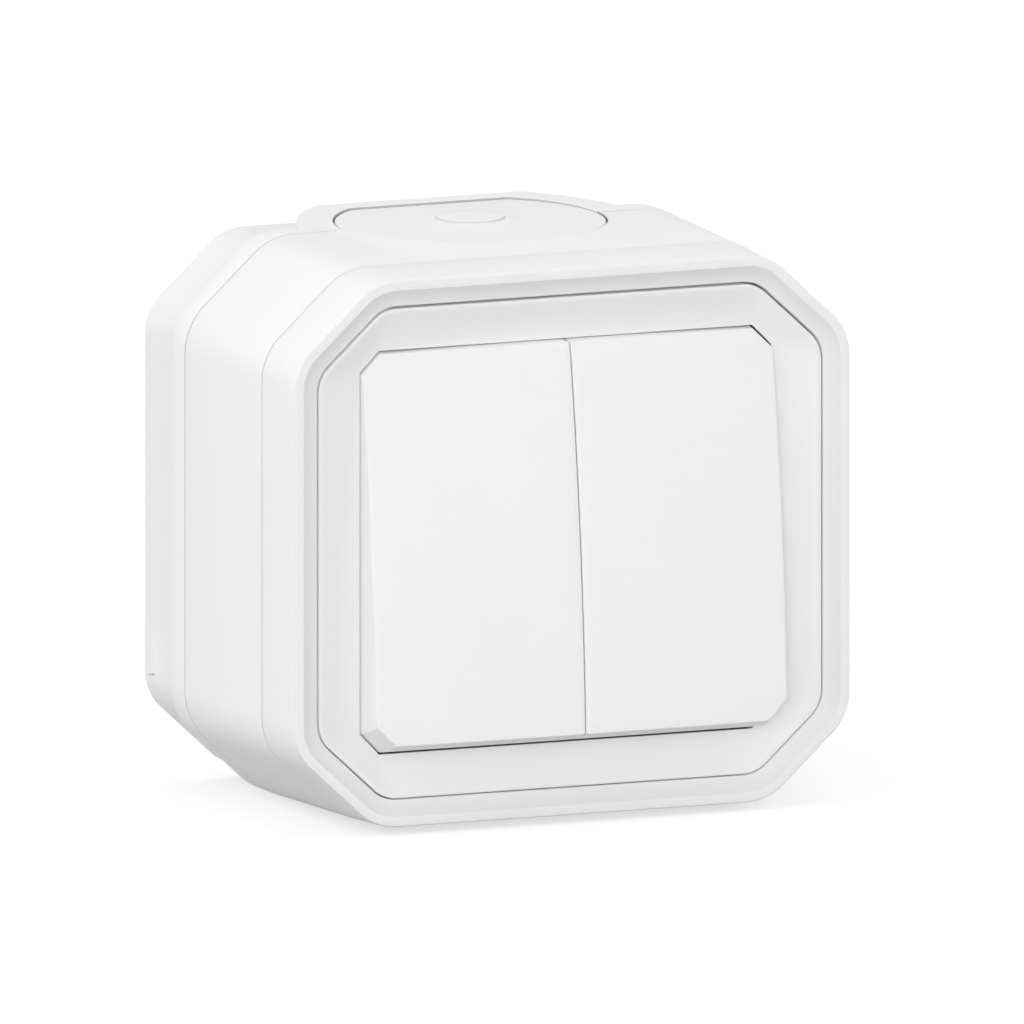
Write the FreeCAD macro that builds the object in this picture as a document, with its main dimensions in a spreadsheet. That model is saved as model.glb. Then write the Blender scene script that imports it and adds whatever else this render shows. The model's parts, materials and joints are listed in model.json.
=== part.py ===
# Weatherproof surface switch with two rocker keys.
#
# X runs to the right of the switch, Z runs up, and the front faces -Y.
# The wall is the plane Y = 0, and a depth is a distance from that wall towards the front.
# The origin is the centre of the back, where the vertical and horizontal centre lines cross.
import FreeCAD
import Part
import math
import os
import re
import Sketcher

# Driving sizes, in millimetres and degrees
sizes = {
    # Outline of the case, seen from the front
    "case_width": 84.3,  # width over the seam of base and housing
    "case_height": 77.5,  # height over the same seam
    "cut_width": 12.7,  # cut corner, along the width
    "cut_height": 11.7,  # cut corner, along the height
    "corner_radius": 9.0,  # rounding where a cut corner meets a side
    "wall": 2.2,  # wall of the mouldings
    "seam_gap": 0.22,  # open seam between two mouldings
    "cut_over": 1.0,  # overshoot of a cut past the face that it opens
    # Rear base
    "foot_inset": 1.85,  # step of the foot inside the rim
    "foot_depth": 12.5,  # depth of the foot
    "rim_round": 0.9,  # rounding on the back of the rim
    "base_depth": 18.1,  # depth of the whole base
    "base_floor": 2.4,  # floor against the wall
    "fixing_spacing": 60,  # distance of the two wall screws
    "fixing_radius": 2.25,  # hole for a wall screw
    "fixing_collar": 4.6,  # raised ring round a wall screw hole
    "fixing_rise": 1.2,  # height of that ring on the floor
    "tab_height": 5.0,  # break-out tab, height
    "tab_depth": 4.0,  # break-out tab, depth from the back
    "tab_low": 24.0,  # break-out tab, lower edge below the middle
    "tab_recess": 0.4,  # break-out tab, recess in the side
    # Cable entry
    "hump_round": 2.3,  # rounding on its upper edge
    "hump_rise": 0.45,  # its height over the case
    "hump_margin": 6.5,  # edge of the hump outside the disc
    "gland_radius": 18.5,  # disc of the cable gland
    "gland_flat": 13.9,  # flat of the disc, from the middle of the disc
    "gland_seat": 1.6,  # depth of the seat of the disc
    "gland_gap": 0.25,  # open line round the disc
    "gland_edge": 0.6,  # rounding on the edge of the disc
    "edge_rise": 0.48,  # height of that rounding
    "disc_drop": 0.15,  # level top of the disc below the hump
    "disc_fall": 0.2,  # fall of the disc towards its edge
    "swell_land": 0.2,  # level edge of the housing round the disc
    "swell_run": 4.05,  # slope from that edge down to the housing
    "neck_inset": 2.9,  # step of the neck's flat inside the disc's flat
    "gland_lip": 3.7,  # lip of the disc on its seat
    "neck_ceiling": 0.3,  # hollow of the neck above the seat
    "neck_length": 4.6,  # neck below the seat
    "neck_wall": 1.5,  # wall of the neck
    "step_outer": 11.7,  # foot of the sloping step on the disc
    "step_inner": 9.2,  # top of that step
    "step_rise": 0.22,  # height of that step
    "nipple_radius": 4.7,  # round nipple in the middle
    "nipple_rise": 0.3,  # height of the nipple
    # Middle housing
    "case_depth": 24.9,  # depth of the housing
    "case_draft": 0.65,  # draft of each side towards the front
    "deck_drop": 2.8,  # recess in front of the deck
    "deck_wall": 2.2,  # deck that carries the support frame
    "deck_gap": 1.3,  # clearance of the mechanism in the deck
    "pillar_width": 48.0,  # case screws, distance along the width
    "pillar_height": 51.6,  # case screws, distance along the height
    "pillar_radius": 3.3,  # pillar round a case screw
    "screw_radius": 1.45,  # shank of a case screw
    "screw_clearance": 0.25,  # clearance round that shank
    "screw_bite": 0.05,  # clearance of the shank in the base
    "screw_head": 2.9,  # countersunk head of a case screw
    "screw_end": 3.0,  # end of the screw in front of the floor
    "screw_relief": 1.0,  # screw hole in the base beyond the screw
    "sink_angle": 45,  # slope of the countersunk head
    "head_clearance": 0.3,  # clearance round a screw head
    "slot_width": 0.8,  # slot in a screw head
    # Gaskets
    "groove_inset": 0.8,  # gasket groove, step from the outside
    "groove_width": 1.1,  # gasket groove, width
    "groove_depth": 1.1,  # gasket groove, depth
    "groove_fit": 0.05,  # clearance of a gasket in its groove
    "collar_groove_inset": 0.6,  # gasket groove of the collar, step from the outside
    # Front collar and the plate round the keys
    "collar_depth": 10.4,  # collar in front of the housing
    "collar_inset": 0.45,  # step of the collar's back inside the case
    "collar_taper": 0.65,  # taper of the collar towards the front
    "collar_round": 0.8,  # rounding on the front edge
    "rim_band": 1.35,  # flat band round the front
    "bevel_width": 2.43,  # sloping band inside that, width
    "bevel_depth": 1.1,  # sloping band, depth
    "window_radius": 5.2,  # rounding of the collar's window
    "plate_gap": 0.4,  # open line between collar and plate
    "plate_land": 0.5,  # level edge of the plate
    "plate_dish": 1.3,  # fall of the plate towards the keys
    "plate_wall": 1.8,  # plate beside the keys
    "plate_corner": 0.3,  # rounding in the corners of the key opening
    "ledge_width": 1.6,  # ledge under the plate, width
    "ledge_wall": 1.6,  # ledge under the plate, thickness
    "hook_wall": 1.4,  # snap hook of the collar, thickness
    "hook_width": 7.0,  # snap hook of the collar, width
    "hook_height": 14.0,  # snap hook, distance from the middle
    "hook_nose": 0.9,  # nose of the hook behind the frame
    "hook_gap": 0.3,  # clearance round the hook
    "hook_bite": 0.1,  # clearance of the nose behind the frame
    "post_height": 24.0,  # posts on the plate, distance along the height
    "post_radius": 1.4,  # post on the plate
    # Keys
    "keys_width": 60.4,  # both keys together
    "key_gap": 0.25,  # open line between the keys
    "key_radius": 27.8,  # round ends of a key, about its pivot
    "key_reach": 7.61,  # ends of a key's face in front of its pivot
    "key_crown": 0.9,  # rise of the face from its ends to its middle
    "key_tail": 1.3,  # back edge of a key behind its pivot
    "key_wall": 1.7,  # wall of a key
    "key_cut": 2.8,  # cut outer corners of a key
    "key_clearance": 0.2,  # open line round the keys
    "key_round": 0.3,  # rounding on the edges of the face
    "key_tilt": 5.91,  # tilt of a key to each side of level
    "pivot_setback": 3.2,  # pivot behind the edge of the key opening
    "clip_width": 8.0,  # snap clip under a key, width
    "clip_wall": 1.2,  # snap clip under a key, thickness
    "clip_nose": 0.8,  # nose of that clip
    "clip_gap": 0.12,  # clearance of that clip
    "clip_root": 0.3,  # root of that clip in the face of the key
    "cheek_clearance": 0.6,  # clearance of the key over a cheek
    # Support frame and splash seal
    "frame_wall": 1.8,  # support frame, thickness
    "frame_gap": 0.35,  # clearance of the frame in the housing
    "frame_margin": 0.6,  # frame opening wider than the mechanism
    "frame_reach": 3.0,  # frame opening higher than a paddle, at each end
    "seal_wall": 0.8,  # splash seal, thickness
    "seal_gap": 1.0,  # clearance of the seal beside the hooks
    "seal_dam": 0.8,  # raised lip of the seal, thickness
    "seal_rise": 1.0,  # raised lip of the seal, height
    # Mechanism block
    "mech_width": 52.0,  # mechanism block, width
    "cheek_wall": 1.7,  # outer cheek beside a rocker
    "middle_wall": 3.0,  # wall between the two cells
    "cheek_radius": 3.4,  # round end of a cheek about the axle
    "ear_reach": 6.5,  # ear of the block, reach
    "ear_screw": 3.6,  # mechanism screw beside the block
    "ear_height": 18.0,  # ear of the block, height
    "ear_wall": 2.4,  # ear of the block, thickness
    "chamber_wall": 0.6,  # outer wall of a terminal chamber
    "cell_clearance": 2.8,  # cell beyond the end of a contact arm
    "mech_screw": 1.2,  # shank of a mechanism screw
    "mech_head": 2.3,  # head of a mechanism screw
    "mech_head_height": 1.5,  # height of that head
    "cover_wall": 1.5,  # terminal cover, thickness
    "axle_radius": 1.5,  # axle of the rockers
    "running_fit": 0.03,  # clearance of a bore on its shaft
    "side_gap": 0.3,  # clearance of a rocker beside its cheeks
    # Rocker cradles, plungers and springs
    "paddle_height": 34.0,  # paddle under a key, height
    "paddle_wall": 3.3,  # paddle under a key, thickness
    "hub_radius": 3.0,  # hub on the axle
    "tube_reach": 9.5,  # end of the tube behind the pivot
    "tube_wall": 1.2,  # wall of that tube
    "bore_fit": 0.1,  # clearance of plunger and spring in the tube
    "bore_wall": 1.3,  # wall between the axle and that bore
    "plunger_radius": 2.0,  # plunger
    "plunger_length": 8.0,  # plunger, length
    "tip_reach": 14.4,  # tip of the plunger behind the pivot
    "tip_gap": 0.1,  # least gap of tip and contact arm
    "tip_flat": 0.2,  # flat end of the tip
    "wire": 0.5,  # wire of the spring
    "spring_turns": 3.5,  # turns of the spring
    # Contact arms
    "arm_width": 5.0,  # contact arm, width
    "arm_wall": 1.0,  # contact arm, thickness
    "arm_margin": 0.2,  # contact arm beyond its contacts
    "arm_hub": 1.6,  # hub of the contact arm
    "hub_sink": 0.2,  # bar's bore in the arm
    "throat_gap": 0.5,  # clearance of the hub beside the blade
    "arm_tilt": 7.0,  # tilt of the arm to each side of level
    "bar_radius": 0.75,  # round bar that carries the arm
    "bar_fit": 0.05,  # clearance of the hub on that bar
    "contact_spacing": 17.0,  # distance of the two contacts of an arm
    "contact_radius": 1.5,  # contact rivet
    "contact_height": 0.8,  # contact rivet, height
    "contact_gap": 0.05,  # gap of a closed contact
    # Terminals
    "strip_wall": 0.8,  # terminal strip, thickness
    "strip_land": 0.3,  # strip beside a contact
    "strip_end": 0.5,  # strip inside a contact
    "strip_lap": 1.0,  # lap of a strip on its block
    "strip_gap": 0.4,  # gap of a strip and the next block
    "block_width": 6.4,  # terminal block, width
    "block_height": 5.8,  # terminal block, height
    "block_depth": 8.5,  # terminal block, depth
    "block_gap": 0.2,  # clearance of a block in its chamber
    "cell_wall": 1.7,  # wall between cell and chamber
    "wire_radius": 1.4,  # wire hole of a terminal
    "entry_radius": 1.8,  # wire hole of the cover
    "clamp_radius": 1.45,  # shank of a terminal screw
    "clamp_fit": 0.05,  # clearance of that shank
    "clamp_head": 2.4,  # head of a terminal screw
    "clamp_head_height": 1.8,  # height of that head
    "clamp_end": 1.5,  # end of the shank inside the block
}

document = FreeCAD.newDocument("weatherproof_switch")
sheet = document.addObject("Spreadsheet::Sheet", "Sizes")
for row, (alias, amount) in enumerate(sizes.items(), 1):
    sheet.set(f"A{row}", alias)
    sheet.set(f"B{row}", str(amount))
    sheet.setAlias(f"B{row}", alias)
document.recompute()

names_pattern = re.compile(r"\b(" + "|".join(sorted(sizes, key=len, reverse=True)) + r")\b")


def bound(text):
    """Return the expression for sizes named by their aliases alone."""
    return names_pattern.sub(r"Sizes.\1", str(text))


def number(text):
    """Return what such an expression comes to now."""
    return float(sheet.evalExpression(bound(text)))


# Depths that several pieces share
base_face = "(base_depth - seam_gap)"
case_front = "(base_depth + case_depth)"
deck_front = f"({case_front} - deck_drop)"
deck_back = f"({deck_front} - deck_wall)"
collar_back = f"({case_front} + seam_gap)"
collar_front = f"({case_front} + collar_depth)"
window_level = f"({collar_front} - bevel_depth)"
opening_level = f"({window_level} - plate_dish)"
plate_back = f"({opening_level} - plate_wall)"
ledge_back = f"({plate_back} - ledge_wall)"
pivot_depth = f"({opening_level} - pivot_setback)"
frame_front = f"({deck_front} + frame_wall)"
seal_front = f"({frame_front} + seal_wall)"

# Steps inwards from the case outline
collar_front_inset = "(collar_inset + collar_taper)"
bevel_outer = f"({collar_front_inset} + rim_band)"
window_inset = f"({bevel_outer} + bevel_width)"
cavity_inset = "(wall + case_draft)"

# Levels of the cable entry, upwards
hump_top = "(case_height / 2 + hump_rise)"
gland_floor = f"({hump_top} - gland_seat)"
hump_radius = "(gland_radius + hump_margin)"
neck_radius = "(gland_radius - gland_lip)"
disc_top = f"({hump_top} - disc_drop)"
disc_edge = f"({disc_top} - disc_fall - gland_edge)"

# Places inside the mechanism
cell_inner = "(middle_wall / 2)"
cell_outer = "(mech_width / 2 - cheek_wall)"
cell_middle = f"(({cell_inner} + {cell_outer}) / 2)"
arm_rise = "(bar_radius + bar_fit - hub_sink + arm_wall)"
arm_depth = f"({pivot_depth} - tip_reach - tip_gap - {arm_rise})"
arm_back = f"({arm_rise} - arm_wall)"
rivet_face = f"({arm_back} - contact_height)"
closed_drop = "((contact_spacing / 2 + contact_radius) * sin(arm_tilt * 1 deg) + contact_gap)"
fixed_face = f"({arm_depth} + {rivet_face} - {closed_drop})"
strip_face = f"({fixed_face} - contact_height)"
cell_floor = f"({strip_face} - strip_wall)"
arm_length = "(contact_spacing + 2 * (contact_radius + arm_margin))"
cell_height = f"({arm_length} + 2 * cell_clearance)"
block_offset = "(contact_radius + strip_land + strip_gap + block_width / 2)"
block_low = f"({cell_height} / 2 + cell_wall + block_gap)"
block_middle = f"({block_low} + block_height / 2)"
block_high = f"({block_low} + block_height)"
mech_height = f"(2 * ({block_high} + block_gap + chamber_wall))"
block_back = f"({strip_face} - block_depth)"
mech_back = f"({block_back} - block_gap)"
clamp_depth = f"({strip_face} - block_depth / 2)"
ear_place = "(mech_width / 2 + ear_screw)"
frame_height = "(paddle_height + 2 * frame_reach)"
bore_radius = "(plunger_radius + bore_fit)"
head_depth = "((screw_head - screw_radius) / tan(sink_angle * 1 deg))"


def new_body(label):
    """Start one piece of the switch as a body of its own."""
    body = document.addObject("PartDesign::Body", label)
    body.Label = label
    body.AllowCompound = True
    return body


def plane_of(body, role):
    """Return one of the three planes through the body's own origin."""
    for feature in body.Origin.OriginFeatures:
        if feature.Role == role:
            return feature
    raise ValueError(role)


class Profile:
    """A sketch on a plane of its body, with every point and radius tied to the sheet."""

    def __init__(self, body, role, offset="0", shift="0"):
        self.sketch = body.newObject("Sketcher::SketchObject", "Profile")
        self.sketch.AttachmentSupport = (plane_of(body, role), [""])
        self.sketch.MapMode = "FlatFace"
        self.sketch.setExpression("AttachmentOffset.Base.z", bound(offset))
        self.sketch.setExpression("AttachmentOffset.Base.x", bound(shift))

    def tie(self, kind, geometry, end, text):
        """Tie one coordinate of a point of the sketch."""
        amount = number(text)
        if abs(amount) < 1e-7:
            axis = -2 if kind == "DistanceX" else -1
            self.sketch.addConstraint(Sketcher.Constraint("PointOnObject", geometry, end, axis))
            return
        index = self.sketch.addConstraint(Sketcher.Constraint(kind, -1, 1, geometry, end, amount))
        self.sketch.setExpression(f"Constraints[{index}]", bound(text))

    def hold(self, geometry, end, x, y):
        """Tie both coordinates of a point of the sketch."""
        self.tie("DistanceX", geometry, end, x)
        self.tie("DistanceY", geometry, end, y)

    def radius(self, geometry, text):
        """Tie the radius of a circle or an arc."""
        index = self.sketch.addConstraint(Sketcher.Constraint("Radius", geometry, number(text)))
        self.sketch.setExpression(f"Constraints[{index}]", bound(text))

    def line(self, start, end):
        """Add a line between two points given by their expressions."""
        points = [FreeCAD.Vector(number(x), number(y), 0) for x, y in (start, end)]
        return self.sketch.addGeometry(Part.LineSegment(points[0], points[1]))

    def arc(self, centre, start, end):
        """Add an arc about a centre, the short way from start to end."""
        cx, cy = number(centre[0]), number(centre[1])
        first = math.atan2(number(start[1]) - cy, number(start[0]) - cx)
        last = math.atan2(number(end[1]) - cy, number(end[0]) - cx)
        turn = (last - first) % (2 * math.pi)
        forward = turn < math.pi
        if not forward:
            first, last = last, first
        reach = math.hypot(number(start[0]) - cx, number(start[1]) - cy)
        circle = Part.Circle(FreeCAD.Vector(cx, cy, 0), FreeCAD.Vector(0, 0, 1), reach)
        index = self.sketch.addGeometry(Part.ArcOfCircle(circle, first, last))
        return index, (1, 2) if forward else (2, 1)

    def join(self, one, one_end, other, other_end):
        """Join the ends of two lines or arcs."""
        self.sketch.addConstraint(Sketcher.Constraint("Coincident", one, one_end, other, other_end))

    def circle(self, x, y, radius):
        """Add a circle."""
        middle = FreeCAD.Vector(number(x), number(y), 0)
        index = self.sketch.addGeometry(Part.Circle(middle, FreeCAD.Vector(0, 0, 1), number(radius)))
        self.hold(index, 3, x, y)
        self.radius(index, radius)
        return self

    def polygon(self, corners):
        """Add a closed run of straight lines."""
        lines = []
        for place, corner in enumerate(corners):
            lines.append(self.line(corner, corners[(place + 1) % len(corners)]))
        for place, corner in enumerate(corners):
            self.join(lines[place], 2, lines[(place + 1) % len(corners)], 1)
            self.hold(lines[place], 1, corner[0], corner[1])
        return self

    def rectangle(self, left, right, low, high):
        """Add a rectangle."""
        return self.polygon([(left, low), (right, low), (right, high), (left, high)])

    def rounded(self, runs, arcs):
        """Add straight runs joined by arcs, an arc after each run, with a centre and a radius."""
        lines = [self.line(start, end) for start, end in runs]
        for place, (start, end) in enumerate(runs):
            self.hold(lines[place], 1, start[0], start[1])
            self.hold(lines[place], 2, end[0], end[1])
        for place, (centre, radius) in enumerate(arcs):
            following = (place + 1) % len(runs)
            index, (near, far) = self.arc(centre, runs[place][1], runs[following][0])
            self.join(lines[place], 2, index, near)
            self.join(index, far, lines[following], 1)
            self.radius(index, radius)
        return self

    def contour(self, corners):
        """Add a closed run of level and upright lines, rounded at each corner that has a radius."""

        def along(corner, other):
            if len(corner) == 2:
                return corner[0], corner[1]
            across = number(other[0]) - number(corner[0])
            rise = number(other[1]) - number(corner[1])
            if abs(across) > abs(rise):
                return f"({corner[0]} + {int(math.copysign(1, across))} * {corner[2]})", corner[1]
            return corner[0], f"({corner[1]} + {int(math.copysign(1, rise))} * {corner[2]})"

        count = len(corners)
        arriving = [along(corners[place], corners[place - 1]) for place in range(count)]
        leaving = [along(corners[place], corners[(place + 1) % count]) for place in range(count)]
        lines = [self.line(leaving[place], arriving[(place + 1) % count]) for place in range(count)]
        for place, corner in enumerate(corners):
            self.hold(lines[place], 1, leaving[place][0], leaving[place][1])
            if len(corner) == 2:
                self.join(lines[place - 1], 2, lines[place], 1)
                continue
            self.hold(lines[place - 1], 2, arriving[place][0], arriving[place][1])
            x = arriving[place][0] if arriving[place][0] != corner[0] else leaving[place][0]
            y = arriving[place][1] if arriving[place][1] != corner[1] else leaving[place][1]
            index, (near, far) = self.arc((x, y), arriving[place], leaving[place])
            self.join(lines[place - 1], 2, index, near)
            self.join(index, far, lines[place], 1)
            self.radius(index, corner[2])
        return self

    def octagon(self, half_width, half_height, cut_x, cut_z, radius):
        """Add a rectangle with cut corners, rounded where the cuts meet the sides."""
        slant = f"hypot({cut_x}; {cut_z})"
        side = f"({radius} * tan(atan({cut_x} / {cut_z}) / 2))"
        top = f"({radius} * tan(atan({cut_z} / {cut_x}) / 2))"
        quarter = [
            (half_width, f"({half_height} - {cut_z} - {side})"),
            (f"({half_width} - {side} * {cut_x} / {slant})",
             f"({half_height} - {cut_z} + {side} * {cut_z} / {slant})"),
            (f"({half_width} - {cut_x} + {top} * {cut_x} / {slant})",
             f"({half_height} - {top} * {cut_z} / {slant})"),
            (f"({half_width} - {cut_x} - {top})", half_height),
        ]
        centres = [
            (f"({half_width} - {radius})", f"({half_height} - {cut_z} - {side})"),
            (f"({half_width} - {cut_x} - {top})", f"({half_height} - {radius})"),
        ]

        def turned(point, sign_x, sign_z):
            return (f"{sign_x} * {point[0]}", f"{sign_z} * {point[1]}")

        points = []
        arcs = []
        for sign_x, sign_z in ((1, 1), (-1, 1), (-1, -1), (1, -1)):
            order = 1 if sign_x * sign_z > 0 else -1
            points += [turned(point, sign_x, sign_z) for point in quarter[::order]]
            arcs += [(turned(centre, sign_x, sign_z), radius) for centre in centres[::order]]
        runs = [(points[place], points[(place + 1) % 16]) for place in range(1, 17, 2)]
        return self.rounded(runs, arcs[1:] + arcs[:1])

    def outline(self, inset, radius):
        """Add the outline of the case, stepped inwards on all sides."""
        slant = "hypot(cut_width; cut_height)"
        cut_x = f"(cut_width - {inset} * (cut_height + cut_width - {slant}) / cut_height)"
        cut_z = f"(cut_height - {inset} * (cut_height + cut_width - {slant}) / cut_width)"
        half_width = f"(case_width / 2 - {inset})"
        half_height = f"(case_height / 2 - {inset})"
        return self.octagon(half_width, half_height, cut_x, cut_z, radius)

    def flattened_disc(self, radius, flat):
        """Add the disc of the cable gland, seen from above, with its flat towards the wall."""
        half = f"sqrt({radius} * {radius} - {flat} * {flat})"
        chord = f"-1 * (base_depth - {flat})"
        line = self.line((half, chord), (f"-1 * {half}", chord))
        angle = math.atan2(number(flat), number(half))
        middle = FreeCAD.Vector(0, number("-1 * base_depth"), 0)
        circle = Part.Circle(middle, FreeCAD.Vector(0, 0, 1), number(radius))
        arc = self.sketch.addGeometry(Part.ArcOfCircle(circle, math.pi - angle, 2 * math.pi + angle))
        self.hold(arc, 3, "0", "-1 * base_depth")
        self.radius(arc, radius)
        self.tie("DistanceY", line, 1, chord)
        self.join(line, 2, arc, 1)
        self.join(arc, 2, line, 1)
        self.sketch.addConstraint(Sketcher.Constraint("Horizontal", line))
        return self

    def crowned_side(self, radius, front, crown, back):
        """Add the side view of a key: crowned face, flat back and round ends about the pivot."""
        near = f"sqrt({radius} * {radius} - {front} * {front})"
        far = f"sqrt({radius} * {radius} - {back} * {back})"
        low = (f"-1 * {front}", f"-1 * {near}")
        high = (f"-1 * {front}", near)
        face_radius = f"(({near} * {near} + {crown} * {crown}) / (2 * {crown}))"
        line = self.line((back, far), (back, f"-1 * {far}"))
        self.hold(line, 1, back, far)
        self.hold(line, 2, back, f"-1 * {far}")
        lower, lower_ends = self.arc(("0", "0"), (back, f"-1 * {far}"), low)
        face, face_ends = self.arc((f"({face_radius} - {front} - {crown})", "0"), low, high)
        upper, upper_ends = self.arc(("0", "0"), high, (back, far))
        self.join(line, 2, lower, lower_ends[0])
        self.join(lower, lower_ends[1], face, face_ends[0])
        self.join(face, face_ends[1], upper, upper_ends[0])
        self.join(upper, upper_ends[1], line, 1)
        self.hold(face, face_ends[0], low[0], low[1])
        self.hold(face, face_ends[1], high[0], high[1])
        self.radius(lower, radius)
        self.radius(face, face_radius)
        self.radius(upper, radius)
        return self

    def rocker_side(self, radius, front, back):
        """Add the side view of a key's hollow: flat front, flat back and round ends about the pivot."""
        near = f"sqrt({radius} * {radius} - {front} * {front})"
        far = f"sqrt({radius} * {radius} - {back} * {back})"
        runs = [
            ((f"-1 * {front}", f"-1 * {near}"), (f"-1 * {front}", near)),
            ((back, far), (back, f"-1 * {far}")),
        ]
        return self.rounded(runs, [(("0", "0"), radius), (("0", "0"), radius)])


def pad(body, profile, length, reverse=False, taper=None):
    """Raise a profile along its plane's normal."""
    feature = body.newObject("PartDesign::Pad", "Pad")
    feature.Profile = profile.sketch
    feature.Reversed = reverse
    feature.setExpression("Length", bound(length))
    if taper:
        feature.setExpression("TaperAngle", bound(taper))
    profile.sketch.Visibility = False
    return feature


def pocket(body, profile, length=None, reverse=False, taper=None):
    """Cut a profile against its plane's normal, right through if no length is given."""
    feature = body.newObject("PartDesign::Pocket", "Pocket")
    feature.Profile = profile.sketch
    feature.Reversed = reverse
    if length is None:
        feature.Type = "ThroughAll"
    else:
        feature.setExpression("Length", bound(length))
    if taper:
        feature.setExpression("TaperAngle", bound(taper))
    profile.sketch.Visibility = False
    return feature


def loft(body, kind, first, second):
    """Join two profiles by straight lines, as material or as a cut."""
    feature = body.newObject(f"PartDesign::{kind}Loft", "Loft")
    feature.Profile = first.sketch
    feature.Sections = [second.sketch]
    feature.Ruled = True
    return feature


def turn(body, kind, profile):
    """Turn a profile about its own upright axis."""
    feature = body.newObject(f"PartDesign::{kind}", "Turned")
    feature.Profile = profile.sketch
    feature.ReferenceAxis = (profile.sketch, ["V_Axis"])
    feature.Angle = 360
    return feature


def rounded_edges(body, depth, radius, crown="0"):
    """Round the outer edges of the body's face at a depth, level or crowned, in the body's own frame."""
    document.recompute()
    shape = body.Tip.Shape
    level = -number(depth)
    summit = level - number(crown)
    edges = []
    for face in shape.Faces:
        box = face.BoundBox
        if abs(box.YMin - summit) < 1e-5 and abs(box.YMax - level) < 1e-5:
            edges += face.OuterWire.Edges
    chosen = []
    for place, edge in enumerate(shape.Edges, 1):
        if any(edge.isSame(other) for other in edges):
            chosen.append(f"Edge{place}")
    base = body.Tip
    feature = body.newObject("PartDesign::Fillet", "Rounded")
    feature.Base = (base, chosen)
    feature.setExpression("Radius", bound(radius))
    return feature


def four_places(width, height):
    """Return the four places of a rectangular pattern about the middle."""
    return [(f"{a} * {width} / 2", f"{b} * {height} / 2") for a in (-1, 1) for b in (-1, 1)]


def circles(body, role, offset, places, radius):
    """Return a profile with one circle at each of the places."""
    profile = Profile(body, role, offset)
    for x, y in places:
        profile.circle(x, y, radius)
    return profile


def gland_cuts(body):
    """Cut the seat and the port of the cable gland."""
    seat = Profile(body, "XY_Plane", hump_top)
    seat.flattened_disc("(gland_radius + gland_gap)", "(gland_flat + gland_gap)")
    pocket(body, seat, "gland_seat")
    port = Profile(body, "XY_Plane", hump_top)
    port.flattened_disc(f"({neck_radius} + gland_gap)", "(gland_flat - neck_inset + gland_gap)")
    pocket(body, port, "gland_seat + neck_length + wall")


# Rear base: foot, rim, hump under the gland, floor with wall screw holes and four pillars
rear_base = new_body("rear_base")
pad(rear_base, Profile(rear_base, "XZ_Plane", "0").outline("foot_inset", "(corner_radius - foot_inset)"),
    base_face)
rim = Profile(rear_base, "XZ_Plane", "foot_depth").outline("0", "corner_radius")
pad(rear_base, rim, f"{base_face} - foot_depth")
rounded_edges(rear_base, "foot_depth", "rim_round")
hump = Profile(rear_base, "XZ_Plane", "base_depth")
hump_low = "(case_height / 2 - foot_inset - wall)"
hump.contour([("0", hump_low), (hump_radius, hump_low), (hump_radius, hump_top, "hump_round"),
              ("0", hump_top)])
turn(rear_base, "Revolution", hump)
behind = Profile(rear_base, "XZ_Plane", "0").rectangle("-1 * case_width", "case_width",
                                                       "-1 * case_height", "case_height")
pocket(rear_base, behind)
ahead = Profile(rear_base, "XZ_Plane", base_face).rectangle("-1 * case_width", "case_width",
                                                            "-1 * case_height", "case_height")
pocket(rear_base, ahead, reverse=True)
cavity = Profile(rear_base, "XZ_Plane", base_face)
cavity.outline("(foot_inset + wall)", "(corner_radius - foot_inset - wall)")
pocket(rear_base, cavity, f"{base_face} - base_floor")
gland_cuts(rear_base)
fixings = [("-1 * fixing_spacing / 2", "0"), ("fixing_spacing / 2", "0")]
pad(rear_base, circles(rear_base, "XZ_Plane", "base_floor", fixings, "fixing_collar"), "fixing_rise")
pocket(rear_base, circles(rear_base, "XZ_Plane", "base_floor + fixing_rise", fixings, "fixing_radius"))
pillars = four_places("pillar_width", "pillar_height")
pad(rear_base, circles(rear_base, "XZ_Plane", "base_floor", pillars, "pillar_radius"),
    f"{base_face} - base_floor")
pocket(rear_base, circles(rear_base, "XZ_Plane", base_face, pillars, "screw_radius + screw_bite"),
       f"{base_face} - base_floor - screw_end + screw_relief")
groove = Profile(rear_base, "XZ_Plane", base_face)
groove.outline("groove_inset", "(corner_radius - groove_inset)")
groove.outline("(groove_inset + groove_width)", "(corner_radius - groove_inset - groove_width)")
pocket(rear_base, groove, "groove_depth")
for sign in (-1, 1):
    outer_side = f"{sign} * (case_width / 2 - foot_inset - tab_recess)"
    tab = Profile(rear_base, "YZ_Plane", outer_side)
    tab.rectangle("-1 * tab_depth", "cut_over", "-1 * tab_low", "tab_height - tab_low")
    pocket(rear_base, tab, "tab_recess + cut_over", reverse=sign > 0)

# Middle housing: drafted tube with a deck for the support frame
middle_housing = new_body("middle_housing")
rear_outline = Profile(middle_housing, "XZ_Plane", "base_depth").outline("0", "corner_radius")
front_outline = Profile(middle_housing, "XZ_Plane", case_front)
front_outline.outline("case_draft", "(corner_radius - case_draft)")
loft(middle_housing, "Additive", rear_outline, front_outline)
swell = Profile(middle_housing, "XZ_Plane", "base_depth")
swell_foot = "(case_height / 2 - case_draft)"
swell_edge = "(gland_radius + gland_gap + swell_land)"
swell_radius = f"({swell_edge} + swell_run)"
swell.polygon([("0", f"({swell_foot} - wall / 2)"), (swell_radius, f"({swell_foot} - wall / 2)"),
               (swell_radius, swell_foot), (swell_edge, hump_top), ("0", hump_top)])
turn(middle_housing, "Revolution", swell)
rearwards = Profile(middle_housing, "XZ_Plane", "base_depth")
rearwards.rectangle("-1 * case_width", "case_width", "-1 * case_height", "case_height")
pocket(middle_housing, rearwards)
rear_hollow = Profile(middle_housing, "XZ_Plane", deck_back)
rear_hollow.outline(cavity_inset, f"(corner_radius - {cavity_inset})")
pocket(middle_housing, rear_hollow)
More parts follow.
